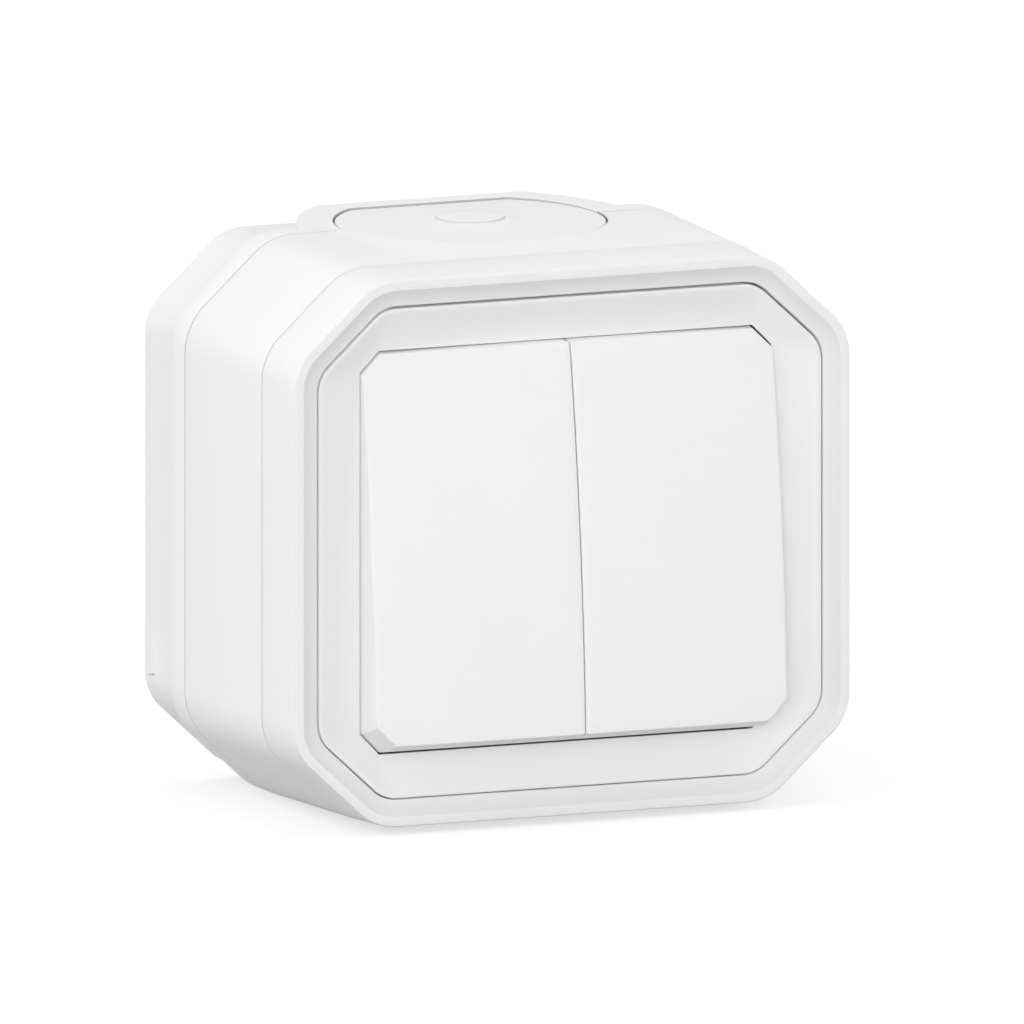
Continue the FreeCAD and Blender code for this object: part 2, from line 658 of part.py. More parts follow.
front_hollow = Profile(middle_housing, "XZ_Plane", case_front)
front_hollow.outline(cavity_inset, f"(corner_radius - {cavity_inset})")
pocket(middle_housing, front_hollow, "deck_drop")
opening = Profile(middle_housing, "XZ_Plane", deck_front)
deck_side = "(mech_width / 2 + ear_reach + deck_gap)"
deck_end = f"({mech_height} / 2 + deck_gap)"
opening.rectangle(f"-1 * {deck_side}", deck_side, f"-1 * {deck_end}", deck_end)
pocket(middle_housing, opening)
pad(middle_housing, circles(middle_housing, "XZ_Plane", "base_depth", pillars, "pillar_radius"),
    f"{deck_back} - base_depth")
pocket(middle_housing, circles(middle_housing, "XZ_Plane", deck_front, pillars,
                               "screw_radius + screw_clearance"))
gland_cuts(middle_housing)
groove = Profile(middle_housing, "XZ_Plane", case_front)
collar_groove = "(case_draft + collar_groove_inset)"
groove.outline(collar_groove, f"(corner_radius - {collar_groove})")
groove.outline(f"({collar_groove} + groove_width)", f"(corner_radius - {collar_groove} - groove_width)")
pocket(middle_housing, groove, "groove_depth")
hook_out = f"(case_width / 2 - {cavity_inset} - hook_gap)"
hook_in = f"({hook_out} - hook_wall)"
nose_in = f"({hook_in} - hook_nose)"
notches = Profile(middle_housing, "XZ_Plane", deck_front)
for side in (-1, 1):
    for level in (-1, 1):
        edges = [f"{side} * ({nose_in} - hook_gap)", f"{side} * ({hook_out} + hook_gap)"]
        notches.rectangle(edges[0], edges[1], f"{level} * hook_height - hook_width / 2 - hook_gap",
                          f"{level} * hook_height + hook_width / 2 + hook_gap")
pocket(middle_housing, notches, "deck_wall")

# Front collar: tapered ring with a sloping band, a ledge for the plate and four snap hooks
front_collar = new_body("front_collar")
collar_rear_outline = Profile(front_collar, "XZ_Plane", collar_back)
collar_rear_outline.outline("collar_inset", "(corner_radius - collar_inset)")
collar_front_outline = Profile(front_collar, "XZ_Plane", collar_front)
collar_front_outline.outline(collar_front_inset, f"(corner_radius - {collar_front_inset})")
loft(front_collar, "Additive", collar_rear_outline, collar_front_outline)
rounded_edges(front_collar, collar_front, "collar_round")
collar_hollow = Profile(front_collar, "XZ_Plane", ledge_back)
collar_hollow.outline(f"({collar_front_inset} + wall)", f"(corner_radius - {collar_front_inset} - wall)")
pocket(front_collar, collar_hollow)
window_edge = f"({window_inset} - plate_gap / 2)"
bevel_front = Profile(front_collar, "XZ_Plane", collar_front)
bevel_front.outline(bevel_outer, f"(corner_radius - {bevel_outer})")
bevel_back = Profile(front_collar, "XZ_Plane", window_level).outline(window_edge, "window_radius")
loft(front_collar, "Subtractive", bevel_front, bevel_back)
pocket(front_collar, Profile(front_collar, "XZ_Plane", window_level).outline(window_edge, "window_radius"),
       f"{window_level} - {plate_back}")
pocket(front_collar, Profile(front_collar, "XZ_Plane", plate_back).outline(
    f"({window_inset} + ledge_width)", "(window_radius - ledge_width)"))
for side in (-1, 1):
    for level in (-1, 1):
        hook = Profile(front_collar, "XY_Plane", f"{level} * hook_height - hook_width / 2")
        nose_front = f"({deck_front} - hook_bite)"
        hook_end = f"({deck_back} + hook_gap)"
        hook.polygon([
            (f"{side} * {hook_out}", f"-1 * ({ledge_back} + ledge_wall / 2)"),
            (f"{side} * {hook_out}", f"-1 * {hook_end}"),
            (f"{side} * {hook_in}", f"-1 * {hook_end}"),
            (f"{side} * {nose_in}", f"-1 * ({hook_end} + hook_nose)"),
            (f"{side} * {nose_in}", f"-1 * {nose_front}"),
            (f"{side} * {hook_in}", f"-1 * {nose_front}"),
            (f"{side} * {hook_in}", f"-1 * ({ledge_back} + ledge_wall / 2)"),
        ])
        pad(front_collar, hook, "hook_width")

# Plate round the keys: dished towards the key opening, with four posts on the splash seal
opening_width = "(keys_width / 2 + key_clearance)"
opening_height = "(key_radius + key_clearance)"
key_surround = new_body("key_surround")
plate_edge = f"({window_inset} + plate_gap / 2)"
pad(key_surround, Profile(key_surround, "XZ_Plane", plate_back).outline(
    plate_edge, "(window_radius - plate_gap)"), f"{window_level} - {plate_back}")
dish_rim = Profile(key_surround, "XZ_Plane", window_level)
dish_rim.outline(f"({plate_edge} + plate_land)", "(window_radius - plate_gap - plate_land / 2)")
dish_foot = Profile(key_surround, "XZ_Plane", opening_level)
dish_foot.octagon(opening_width, opening_height, "(key_cut + plate_corner)", "(key_cut + plate_corner)",
                  "plate_corner")
loft(key_surround, "Subtractive", dish_rim, dish_foot)
key_opening = Profile(key_surround, "XZ_Plane", opening_level)
key_opening.octagon(opening_width, opening_height, "(key_cut + plate_corner)", "(key_cut + plate_corner)",
                    "plate_corner")
pocket(key_surround, key_opening)
post_width = f"({opening_width} + case_width / 2 - {plate_edge})"
posts = four_places(post_width, "post_height")
pad(key_surround, circles(key_surround, "XZ_Plane", seal_front, posts, "post_radius"),
    f"{plate_back} - {seal_front}")

# Cable gland: domed disc with a flat, a neck and a nipple, soft enough to be pierced
cable_gland = new_body("cable_gland")
gland = Profile(cable_gland, "XZ_Plane", "base_depth")
neck_end = f"({gland_floor} - neck_length)"
gland.polygon([
    ("0", f"({gland_floor} + neck_ceiling)"),
    (f"({neck_radius} - neck_wall)", f"({gland_floor} + neck_ceiling)"),
    (f"({neck_radius} - neck_wall)", neck_end),
    (neck_radius, neck_end),
    (neck_radius, gland_floor),
    ("gland_radius", gland_floor),
    ("gland_radius", disc_edge),
    ("(gland_radius - gland_edge)", f"({disc_edge} + edge_rise)"),
    ("step_outer", disc_top),
    ("step_inner", f"({disc_top} + step_rise)"),
    ("nipple_radius", f"({disc_top} + step_rise)"),
    ("(nipple_radius - nipple_rise / 2)", f"({disc_top} + step_rise + nipple_rise)"),
    ("0", f"({disc_top} + step_rise + nipple_rise)"),
])
turn(cable_gland, "Revolution", gland)
disc_flat = Profile(cable_gland, "XZ_Plane", "base_depth - gland_flat")
disc_flat.rectangle("-1 * case_width", "case_width", gland_floor, f"({hump_top} + cut_over)")
pocket(cable_gland, disc_flat)
neck_flat = Profile(cable_gland, "XZ_Plane", "base_depth - gland_flat + neck_inset")
neck_flat.rectangle("-1 * case_width", "case_width", f"({neck_end} - cut_over)", gland_floor)
pocket(cable_gland, neck_flat)
closure = Profile(cable_gland, "XZ_Plane", "base_depth - gland_flat + neck_inset")
neck_flat_place = "(gland_flat - neck_inset)"
closure_half = f"sqrt({neck_radius} * {neck_radius} - {neck_flat_place} * {neck_flat_place})"
closure.rectangle(f"-1 * {closure_half} + neck_wall", f"{closure_half} - neck_wall", neck_end, gland_floor)
pad(cable_gland, closure, "neck_wall")

def gasket_ring(profile, inset):
    """Add the two edges of a gasket that lies in a groove."""
    outer = f"({inset} + groove_fit)"
    inner = f"({inset} + groove_width - groove_fit)"
    profile.outline(outer, f"(corner_radius - {outer})")
    profile.outline(inner, f"(corner_radius - {inner})")


# Gaskets: one behind the housing, open at the cable gland, and one behind the collar
base_gasket = new_body("base_gasket")
ring = Profile(base_gasket, "XZ_Plane", f"{base_face} - groove_depth")
gasket_ring(ring, "groove_inset")
pad(base_gasket, ring, "groove_depth + seam_gap")
clear = Profile(base_gasket, "XY_Plane", hump_top)
clear.flattened_disc("(gland_radius + gland_gap)", "(gland_flat + gland_gap)")
pocket(base_gasket, clear, "gland_seat + neck_length + wall")
collar_gasket = new_body("collar_gasket")
ring = Profile(collar_gasket, "XZ_Plane", f"{case_front} - groove_depth")
gasket_ring(ring, collar_groove)
pad(collar_gasket, ring, "groove_depth + seam_gap")

# Support frame on the deck, with notches for the hooks and countersunk holes
support_frame = new_body("support_frame")
frame_outline = Profile(support_frame, "XZ_Plane", deck_front)
frame_inset = f"({cavity_inset} + frame_gap)"
frame_outline.outline(frame_inset, f"(corner_radius - {frame_inset})")
pad(support_frame, frame_outline, "frame_wall")
frame_half = "(mech_width / 2 + frame_margin)"
frame_opening = Profile(support_frame, "XZ_Plane", frame_front)
frame_opening.rectangle(f"-1 * {frame_half}", frame_half, f"-1 * {frame_height} / 2",
                        f"{frame_height} / 2")
pocket(support_frame, frame_opening)
notches = Profile(support_frame, "XZ_Plane", frame_front)
for side in (-1, 1):
    for level in (-1, 1):
        notches.rectangle(f"{side} * ({hook_in} - hook_gap)", f"{side} * ({hook_out} + wall)",
                          f"{level} * hook_height - hook_width / 2 - hook_gap",
                          f"{level} * hook_height + hook_width / 2 + hook_gap")
pocket(support_frame, notches)
pocket(support_frame, circles(support_frame, "XZ_Plane", frame_front, pillars,
                              "screw_radius + screw_clearance"))
sunk = circles(support_frame, "XZ_Plane", frame_front, pillars, "screw_head + screw_bite")
pocket(support_frame, sunk, head_depth, taper="-1 * sink_angle")
ears = [(f"-1 * {ear_place}", "0"), (ear_place, "0")]
pocket(support_frame, circles(support_frame, "XZ_Plane", frame_front, ears,
                              "mech_screw + screw_clearance"))

# Splash seal on the support frame, with a raised lip round the mechanism
splash_seal = new_body("splash_seal")
sheet_profile = Profile(splash_seal, "XZ_Plane", frame_front)
seal_inset = f"(case_width / 2 - {hook_in} + seal_gap)"
sheet_profile.outline(seal_inset, f"(corner_radius - {seal_inset})")
pad(splash_seal, sheet_profile, "seal_wall")
lip = Profile(splash_seal, "XZ_Plane", seal_front)
lip.rectangle(f"-1 * ({frame_half} + seal_dam)", f"({frame_half} + seal_dam)",
              f"-1 * ({frame_height} / 2 + seal_dam)", f"({frame_height} / 2 + seal_dam)")
pad(splash_seal, lip, "seal_rise")
seal_opening = Profile(splash_seal, "XZ_Plane", f"{seal_front} + seal_rise")
seal_opening.rectangle(f"-1 * {frame_half}", frame_half, f"-1 * {frame_height} / 2",
                       f"{frame_height} / 2")
pocket(splash_seal, seal_opening)
pocket(splash_seal, circles(splash_seal, "XZ_Plane", seal_front, pillars,
                            "screw_head + head_clearance"))
pocket(splash_seal, circles(splash_seal, "XZ_Plane", f"{seal_front} + seal_rise", ears,
                            "mech_head + head_clearance"))

# Mechanism block: two contact cells, six terminal chambers, cheeks for the axle and two ears
mechanism_block = new_body("mechanism_block")
block = Profile(mechanism_block, "XZ_Plane", mech_back)
block.rectangle("-1 * mech_width / 2", "mech_width / 2", f"-1 * {mech_height} / 2", f"{mech_height} / 2")
pad(mechanism_block, block, f"{deck_front} - {mech_back}")
ear_plate = Profile(mechanism_block, "XZ_Plane", f"{deck_front} - ear_wall")
ear_plate.rectangle("-1 * (mech_width / 2 + ear_reach)", "mech_width / 2 + ear_reach",
                    "-1 * ear_height / 2", "ear_height / 2")
pad(mechanism_block, ear_plate, "ear_wall")
cells = Profile(mechanism_block, "XZ_Plane", deck_front)
for sign in (-1, 1):
    cells.rectangle(f"{sign} * {cell_inner}", f"{sign} * {cell_outer}", f"-1 * {cell_height} / 2",
                    f"{cell_height} / 2")
pocket(mechanism_block, cells, f"{deck_front} - {cell_floor}")
for start, thickness in (("-1 * mech_width / 2", "cheek_wall"), (f"-1 * {cell_inner}", "middle_wall"),
                         (cell_outer, "cheek_wall")):
    cheek = Profile(mechanism_block, "YZ_Plane", start)
    foot = f"-1 * ({deck_front} - ear_wall)"
    cheek.polygon([(foot, "-1 * cheek_radius"), (foot, "cheek_radius"),
                   (f"-1 * {pivot_depth}", "cheek_radius"), (f"-1 * {pivot_depth}", "-1 * cheek_radius")])
    pad(mechanism_block, cheek, thickness)
    cheek_end = Profile(mechanism_block, "YZ_Plane", start)
    cheek_end.circle(f"-1 * {pivot_depth}", "0", "cheek_radius")
    pad(mechanism_block, cheek_end, thickness)
axle_hole = Profile(mechanism_block, "YZ_Plane", "mech_width / 2")
axle_hole.circle(f"-1 * {pivot_depth}", "0", "axle_radius + running_fit")
pocket(mechanism_block, axle_hole)

# Each terminal: its side of the cell, the level of its block, its block's middle and its strip's edges
terminals = []
for gang, sign in (("left", -1), ("right", 1)):
    middle = f"({sign} * {cell_middle})"
    first = f"({middle} - {block_offset})"
    last = f"({middle} + {block_offset})"
    strip_left = f"({first} - block_width / 2)"
    strip_right = f"({middle} + contact_radius + strip_land)"
    terminals.append((f"{gang}_upper_terminal", 1, first, strip_left, strip_right))
    terminals.append((f"{gang}_lower_terminal", -1, middle, f"({middle} - block_width / 2)",
                      f"({middle} + block_width / 2)"))
    terminals.append((f"{gang}_common_terminal", 1, last, f"({strip_right} + strip_wall)",
                      f"({last} + block_width / 2)"))
chambers = Profile(mechanism_block, "XZ_Plane", f"({strip_face} + block_gap)")
for label, level, middle, left, right in terminals:
    chambers.rectangle(f"{middle} - block_width / 2 - block_gap", f"{middle} + block_width / 2 + block_gap",
                       f"{level} * ({block_low} - block_gap)", f"{level} * ({block_high} + block_gap)")
pocket(mechanism_block, chambers)
passages = Profile(mechanism_block, "XZ_Plane", f"({strip_face} + block_gap)")
for label, level, middle, left, right in terminals:
    passages.rectangle(f"{left} - block_gap / 2", f"{right} + block_gap / 2",
                       f"{level} * ({cell_height} / 2 - cut_over)", f"{level} * ({block_low} + strip_lap)")
pocket(mechanism_block, passages, f"{strip_face} + block_gap - {cell_floor}")
for level in (-1, 1):
    access = Profile(mechanism_block, "XY_Plane", f"{level} * {block_middle}")
    for label, side, middle, left, right in terminals:
        if side == level:
            access.circle(middle, f"-1 * {clamp_depth}", "clamp_head + head_clearance")
    pocket(mechanism_block, access, f"{mech_height} / 2", reverse=level > 0)
pocket(mechanism_block, circles(mechanism_block, "XZ_Plane", deck_front, ears, "mech_screw + screw_bite"))

# Cover behind the terminals, with a wire hole for each
terminal_cover = new_body("terminal_cover")
cover = Profile(terminal_cover, "XZ_Plane", f"{mech_back} - cover_wall")
cover.rectangle("-1 * mech_width / 2", "mech_width / 2", f"-1 * {mech_height} / 2", f"{mech_height} / 2")
pad(terminal_cover, cover, "cover_wall")
entries = [(middle, f"{level} * {block_middle}") for label, level, middle, left, right in terminals]
pocket(terminal_cover, circles(terminal_cover, "XZ_Plane", mech_back, entries, "entry_radius"))

# Terminals: a strip with a folded block, the common ones with a blade and a round bar for the arm
made = {}
for label, level, middle, left, right in terminals:
    terminal = new_body(label)
    made[label] = terminal
    common = "common" in label
    inner_end = "-1 * contact_radius" if common else "(contact_spacing / 2 - contact_radius - strip_end)"
    strip = Profile(terminal, "XZ_Plane", cell_floor)
    strip.rectangle(left, right, f"{level} * {inner_end}", f"{level} * ({block_low} + strip_lap)")
    pad(terminal, strip, "strip_wall")
    clamp = Profile(terminal, "XZ_Plane", block_back)
    clamp.rectangle(f"{middle} - block_width / 2", f"{middle} + block_width / 2",
                    f"{level} * {block_low}", f"{level} * {block_high}")
    pad(terminal, clamp, "block_depth")
    hole = Profile(terminal, "XZ_Plane", f"({strip_face} - strip_wall)")
    hole.circle(middle, f"{level} * {block_middle}", "wire_radius")
    pocket(terminal, hole)
    thread = Profile(terminal, "XY_Plane", f"{level} * {block_middle}")
    thread.circle(middle, f"-1 * {clamp_depth}", "clamp_radius + clamp_fit")
    pocket(terminal, thread, "block_height", reverse=level > 0)
    if common:
        centre = f"({middle} - {block_offset})"
        blade = Profile(terminal, "XY_Plane", "-1 * strip_wall / 2")
        blade.rectangle(f"{centre} - arm_width / 2", right, f"-1 * {arm_depth}", f"-1 * {cell_floor}")
        pad(terminal, blade, "strip_wall")
        bar = Profile(terminal, "YZ_Plane", f"{centre} - arm_width / 2")
        bar.circle(f"-1 * {arm_depth}", "0", "bar_radius")
        pad(terminal, bar, "arm_width")

# Fixed contacts on the outer terminals' strips
fixed_contacts = new_body("fixed_contacts")
spots = []
for sign in (-1, 1):
    for level in (-1, 1):
        spots.append((f"{sign} * {cell_middle}", f"{level} * contact_spacing / 2"))
pad(fixed_contacts, circles(fixed_contacts, "XZ_Plane", strip_face, spots, "contact_radius"),
    "contact_height")

# Screws of the terminals, the mechanism and the case
terminal_screws = new_body("terminal_screws")
for level in (1, -1):
    places = [(middle, f"-1 * {clamp_depth}") for label, side, middle, left, right in terminals
              if side == level]
    shank = circles(terminal_screws, "XY_Plane", f"{level} * ({block_high} - clamp_end)", places,
                    "clamp_radius")
    pad(terminal_screws, shank, "clamp_end", reverse=level < 0)
    head = circles(terminal_screws, "XY_Plane", f"{level} * {block_high}", places, "clamp_head")
    pad(terminal_screws, head, "clamp_head_height", reverse=level < 0)
    slots = Profile(terminal_screws, "XY_Plane", f"{level} * ({block_high} + clamp_head_height)")
    for x, y in places:
        slots.rectangle(f"{x} - clamp_head - cut_over", f"{x} + clamp_head + cut_over",
                        f"{y} - slot_width / 2", f"{y} + slot_width / 2")
    pocket(terminal_screws, slots, "slot_width", reverse=level < 0)
mechanism_screws = new_body("mechanism_screws")
pad(mechanism_screws, circles(mechanism_screws, "XZ_Plane", f"{deck_front} - ear_wall", ears, "mech_screw"),
    "ear_wall + frame_wall")
pad(mechanism_screws, circles(mechanism_screws, "XZ_Plane", frame_front, ears, "mech_head"),
    "mech_head_height")
slots = Profile(mechanism_screws, "XZ_Plane", f"{frame_front} + mech_head_height")
for x, y in ears:
    slots.rectangle(f"{x} - mech_head - cut_over", f"{x} + mech_head + cut_over", "-1 * slot_width / 2",
                    "slot_width / 2")
pocket(mechanism_screws, slots, "slot_width")
case_screws = new_body("case_screws")
screw_tip = "(base_floor + screw_end)"
pad(case_screws, circles(case_screws, "XZ_Plane", screw_tip, pillars, "screw_radius"),
    f"{frame_front} - {screw_tip} - {head_depth} / 2")
pad(case_screws, circles(case_screws, "XZ_Plane", frame_front, pillars, "screw_head"), head_depth,
    reverse=True, taper="-1 * sink_angle")
slots = Profile(case_screws, "XZ_Plane", frame_front)
for x, y in pillars:
    slots.rectangle(f"{x} - screw_head - cut_over", f"{x} + screw_head + cut_over",
                    f"{y} - slot_width / 2", f"{y} + slot_width / 2")
pocket(case_screws, slots, "slot_width")

# Axle of the rockers
rocker_axle = document.addObject("Part::Cylinder", "rocker_axle")
rocker_axle.Label = "rocker_axle"
rocker_axle.setExpression("Radius", bound("axle_radius"))
rocker_axle.setExpression("Height", bound("mech_width"))
rocker_axle.Placement = FreeCAD.Placement(
    FreeCAD.Vector(0, 0, 0), FreeCAD.Rotation(FreeCAD.Vector(0, 1, 0), 90))
rocker_axle.setExpression("Placement.Base.x", bound("-1 * mech_width / 2"))
rocker_axle.setExpression("Placement.Base.y", bound(f"-1 * {pivot_depth}"))


def tilted(piece, depth, angle, direction):
    """Stand a piece on its own pivot and tilt it about the width."""
    piece.Placement = FreeCAD.Placement(
        FreeCAD.Vector(0, 0, 0), FreeCAD.Rotation(FreeCAD.Vector(direction, 0, 0), 5))
    piece.setExpression("Placement.Base.y", bound(f"-1 * {depth}"))
    piece.setExpression("Placement.Rotation.Angle", bound(angle))


# Left and right rocker: key, cradle, plunger and spring about the axle, then the contact arm
paddle_front = "(key_reach - key_wall)"
paddle_back = f"({paddle_front} - paddle_wall)"
bore_end = "(axle_radius + bore_wall)"
exported = []
for gang, sign in (("left", -1), ("right", 1)):
    middle = f"({sign} * {cell_middle})"
    key_inner = "(key_gap / 2)"
    key_outer = "(keys_width / 2)"

    def span(near, far, sign=sign):
        """Return where a run along the width starts on this side, and its length."""
        return (near if sign > 0 else f"(-1 * {far})"), f"{far} - {near}"

    key = new_body(f"{gang}_key")
    start, run = span(key_inner, key_outer)
    outer = Profile(key, "YZ_Plane", start)
    pad(key, outer.crowned_side("key_radius", "key_reach", "key_crown", "key_tail"), run)
    near_end = "sqrt(key_radius * key_radius - key_reach * key_reach)"
    for level in (-1, 1):
        corner = Profile(key, "XZ_Plane", "key_reach + cut_over")
        beyond = f"(key_radius + cut_over - {near_end})"
        corner.polygon([
            (f"{sign} * ({key_outer} + cut_over)", f"{level} * ({near_end} - key_cut - cut_over)"),
            (f"{sign} * ({key_outer} + cut_over)", f"{level} * ({near_end} + {beyond})"),
            (f"{sign} * ({key_outer} - key_cut - {beyond})", f"{level} * ({near_end} + {beyond})"),
        ])
        pocket(key, corner)
    rounded_edges(key, "key_reach", "key_round", "key_crown")
    hollow_far = f"({key_outer} - key_wall - key_cut)"
    start, run = span(f"({key_inner} + key_wall)", hollow_far)
    hollow = Profile(key, "YZ_Plane", f"({start} + {run})")
    hollow.rocker_side("(key_radius - key_wall)", paddle_front, "(key_tail + cut_over)")
    pocket(key, hollow, run)
    start, run = span(f"({hollow_far} - cut_over)", f"({key_outer} - key_wall)")
    hollow = Profile(key, "YZ_Plane", f"({start} + {run})")
    hollow.rocker_side("(key_radius - key_wall - key_cut)", paddle_front, "(key_tail + cut_over)")
    pocket(key, hollow, run)
    start, run = span(f"({key_inner} - cut_over)", f"({key_inner} + key_wall + cut_over)")
    relief = Profile(key, "YZ_Plane", f"({start} + {run})")
    relief.rectangle("-1 * (cheek_radius + cheek_clearance)", "key_tail + cut_over",
                     "-1 * (key_radius - 2 * key_wall)",
                     "key_radius - 2 * key_wall")
    pocket(key, relief, run)
    for level in (-1, 1):
        inner = "(paddle_height / 2 + clip_gap)"
        clip = Profile(key, "YZ_Plane", f"({middle} - clip_width / 2)")
        clip.polygon([
            (f"-1 * ({paddle_front} + clip_root)", f"{level} * ({inner} + clip_wall)"),
            (f"-1 * ({paddle_back} - clip_wall)", f"{level} * ({inner} + clip_wall)"),
            (f"-1 * ({paddle_back} - clip_wall)", f"{level} * {inner}"),
            (f"-1 * ({paddle_back} - clip_gap - clip_nose / 2)", f"{level} * ({inner} - clip_nose)"),
            (f"-1 * ({paddle_back} - clip_gap)", f"{level} * ({inner} - clip_nose)"),
            (f"-1 * ({paddle_back} - clip_gap)", f"{level} * {inner}"),
            (f"-1 * ({paddle_front} + clip_root)", f"{level} * {inner}"),
        ])
        pad(key, clip, "clip_width")
    tilted(key, pivot_depth, "key_tilt", -1)

    cradle = new_body(f"{gang}_cradle")
    start, run = span(f"({cell_inner} + side_gap)", f"({cell_outer} - side_gap)")
    pad(cradle, Profile(cradle, "YZ_Plane", start).circle("0", "0", "hub_radius"), run)
    left, width = span(f"({key_inner} + key_wall + side_gap)", f"({cell_outer} - side_gap)")
    paddle = Profile(cradle, "XZ_Plane", paddle_back)
    paddle.rectangle(left, f"({left} + {width})", "-1 * paddle_height / 2", "paddle_height / 2")
    pad(cradle, paddle, "paddle_wall")
    tube = Profile(cradle, "XZ_Plane", "-1 * tube_reach").circle(middle, "0", f"{bore_radius} + tube_wall")
    pad(cradle, tube, "tube_reach")
    pocket(cradle, Profile(cradle, "YZ_Plane", f"({start} + {run})").circle(
        "0", "0", "axle_radius + running_fit"))
    pocket(cradle, Profile(cradle, "XZ_Plane", f"-1 * {bore_end}").circle(middle, "0", bore_radius))
    tilted(cradle, pivot_depth, "key_tilt", -1)

    plunger = new_body(f"{gang}_plunger")
    side = Profile(plunger, "XY_Plane", "0", middle)
    tip_round = "(plunger_radius - tip_flat)"
    side.contour([("0", "(tip_reach - plunger_length)"), ("plunger_radius", "(tip_reach - plunger_length)"),
                  ("plunger_radius", "tip_reach", tip_round), ("0", "tip_reach")])
    turn(plunger, "Revolution", side)
    tilted(plunger, pivot_depth, "key_tilt", -1)

    helix = document.addObject("Part::Helix", f"{gang}_coil")
    coil_length = f"(tip_reach - plunger_length - {bore_end} - wire)"
    coil_radius = "(plunger_radius - wire / 2)"
    helix.setExpression("Height", bound(coil_length))
    helix.setExpression("Pitch", bound(f"{coil_length} / spring_turns"))
    helix.setExpression("Radius", bound(coil_radius))
    section = document.addObject("Part::RegularPolygon", f"{gang}_wire")
    section.Polygon = 6
    section.setExpression("Circumradius", bound("wire / 2"))
    section.Placement = FreeCAD.Placement(
        FreeCAD.Vector(1, 0, 0), FreeCAD.Rotation(FreeCAD.Vector(1, 0, 0), 90))
    section.setExpression("Placement.Base.x", bound(coil_radius))
    spring = document.addObject("Part::Sweep", f"{gang}_spring")
    document.recompute()
    spring.Sections = [section]
    spring.Spine = (helix, [f"Edge{place + 1}" for place in range(len(helix.Shape.Edges))])
    spring.Solid = True
    spring.Frenet = True
    spring.Label = f"{gang}_spring"
    back = f"({bore_end} + wire / 2)"
    spring.Placement = FreeCAD.Placement(
        FreeCAD.Vector(0, 0, 0), FreeCAD.Rotation(FreeCAD.Vector(-1, 0, 0), 90))
    spring.setExpression("Placement.Rotation.Angle", bound("(90 + key_tilt)"))
    spring.setExpression("Placement.Base.x", bound(middle))
    spring.setExpression("Placement.Base.y",
                         bound(f"-1 * {pivot_depth} + {back} * cos(key_tilt * 1 deg)"))
    spring.setExpression("Placement.Base.z", bound(f"-1 * {back} * sin(key_tilt * 1 deg)"))

    arm = new_body(f"{gang}_contact_arm")
    start, run = f"({middle} - arm_width / 2)", "arm_width"
    pad(arm, Profile(arm, "YZ_Plane", start).circle("0", "0", "arm_hub"), run)
    blade = Profile(arm, "XZ_Plane", arm_back)
    blade.rectangle(start, f"({start} + {run})", f"-1 * {arm_length} / 2", f"{arm_length} / 2")
    pad(arm, blade, "arm_wall")
    pocket(arm, Profile(arm, "YZ_Plane", f"({start} + {run})").circle("0", "0", "bar_radius + bar_fit"))
    throat = Profile(arm, "YZ_Plane", f"({start} + {run})")
    throat.rectangle("0", "arm_hub + cut_over", "-1 * (strip_wall / 2 + throat_gap)",
                     "strip_wall / 2 + throat_gap")
    pocket(arm, throat)
    tilted(arm, arm_depth, "arm_tilt", 1)

    rivets = new_body(f"{gang}_arm_contacts")
    spots = [(middle, f"{level} * contact_spacing / 2") for level in (-1, 1)]
    pad(rivets, circles(rivets, "XZ_Plane", rivet_face, spots, "contact_radius"), "contact_height")
    tilted(rivets, arm_depth, "arm_tilt", 1)
    exported += [key, cradle, plunger, spring, arm, rivets]

document.recompute()
exported += [rear_base, middle_housing, front_collar, key_surround, cable_gland, base_gasket, collar_gasket,
             support_frame, splash_seal, mechanism_block, terminal_cover, fixed_contacts, terminal_screws,
             mechanism_screws, case_screws, rocker_axle]
exported += list(made.values())

# Every feature has to be sound before a piece is written
for item in document.Objects:
    if "Invalid" in item.State or "Error" in item.State:
        raise RuntimeError(f"{item.Name} of {item.Label}: {item.State}")
os.makedirs("parts", exist_ok=True)
for piece in exported:
    if piece.Shape.isNull() or not piece.Shape.isValid() or not piece.Shape.Solids:
        raise RuntimeError(f"{piece.Label} is not a sound solid")
    piece.Shape.exportStep(os.path.join("parts", f"{piece.Label}.step"))
    print(f"{piece.Label}: {len(piece.Shape.Solids)} solids, {piece.Shape.Volume:.1f} mm3")
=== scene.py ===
"""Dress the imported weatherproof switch: moulded shells, rocker keys, cable gland, finishes and studio.

Lengths are millimetres until a mesh is made, and a place is (x, depth, z), where the depth runs from the wall
towards the front.
"""
import json
import logging
import math
from collections.abc import Callable, Sequence
from dataclasses import dataclass, field
from enum import Enum

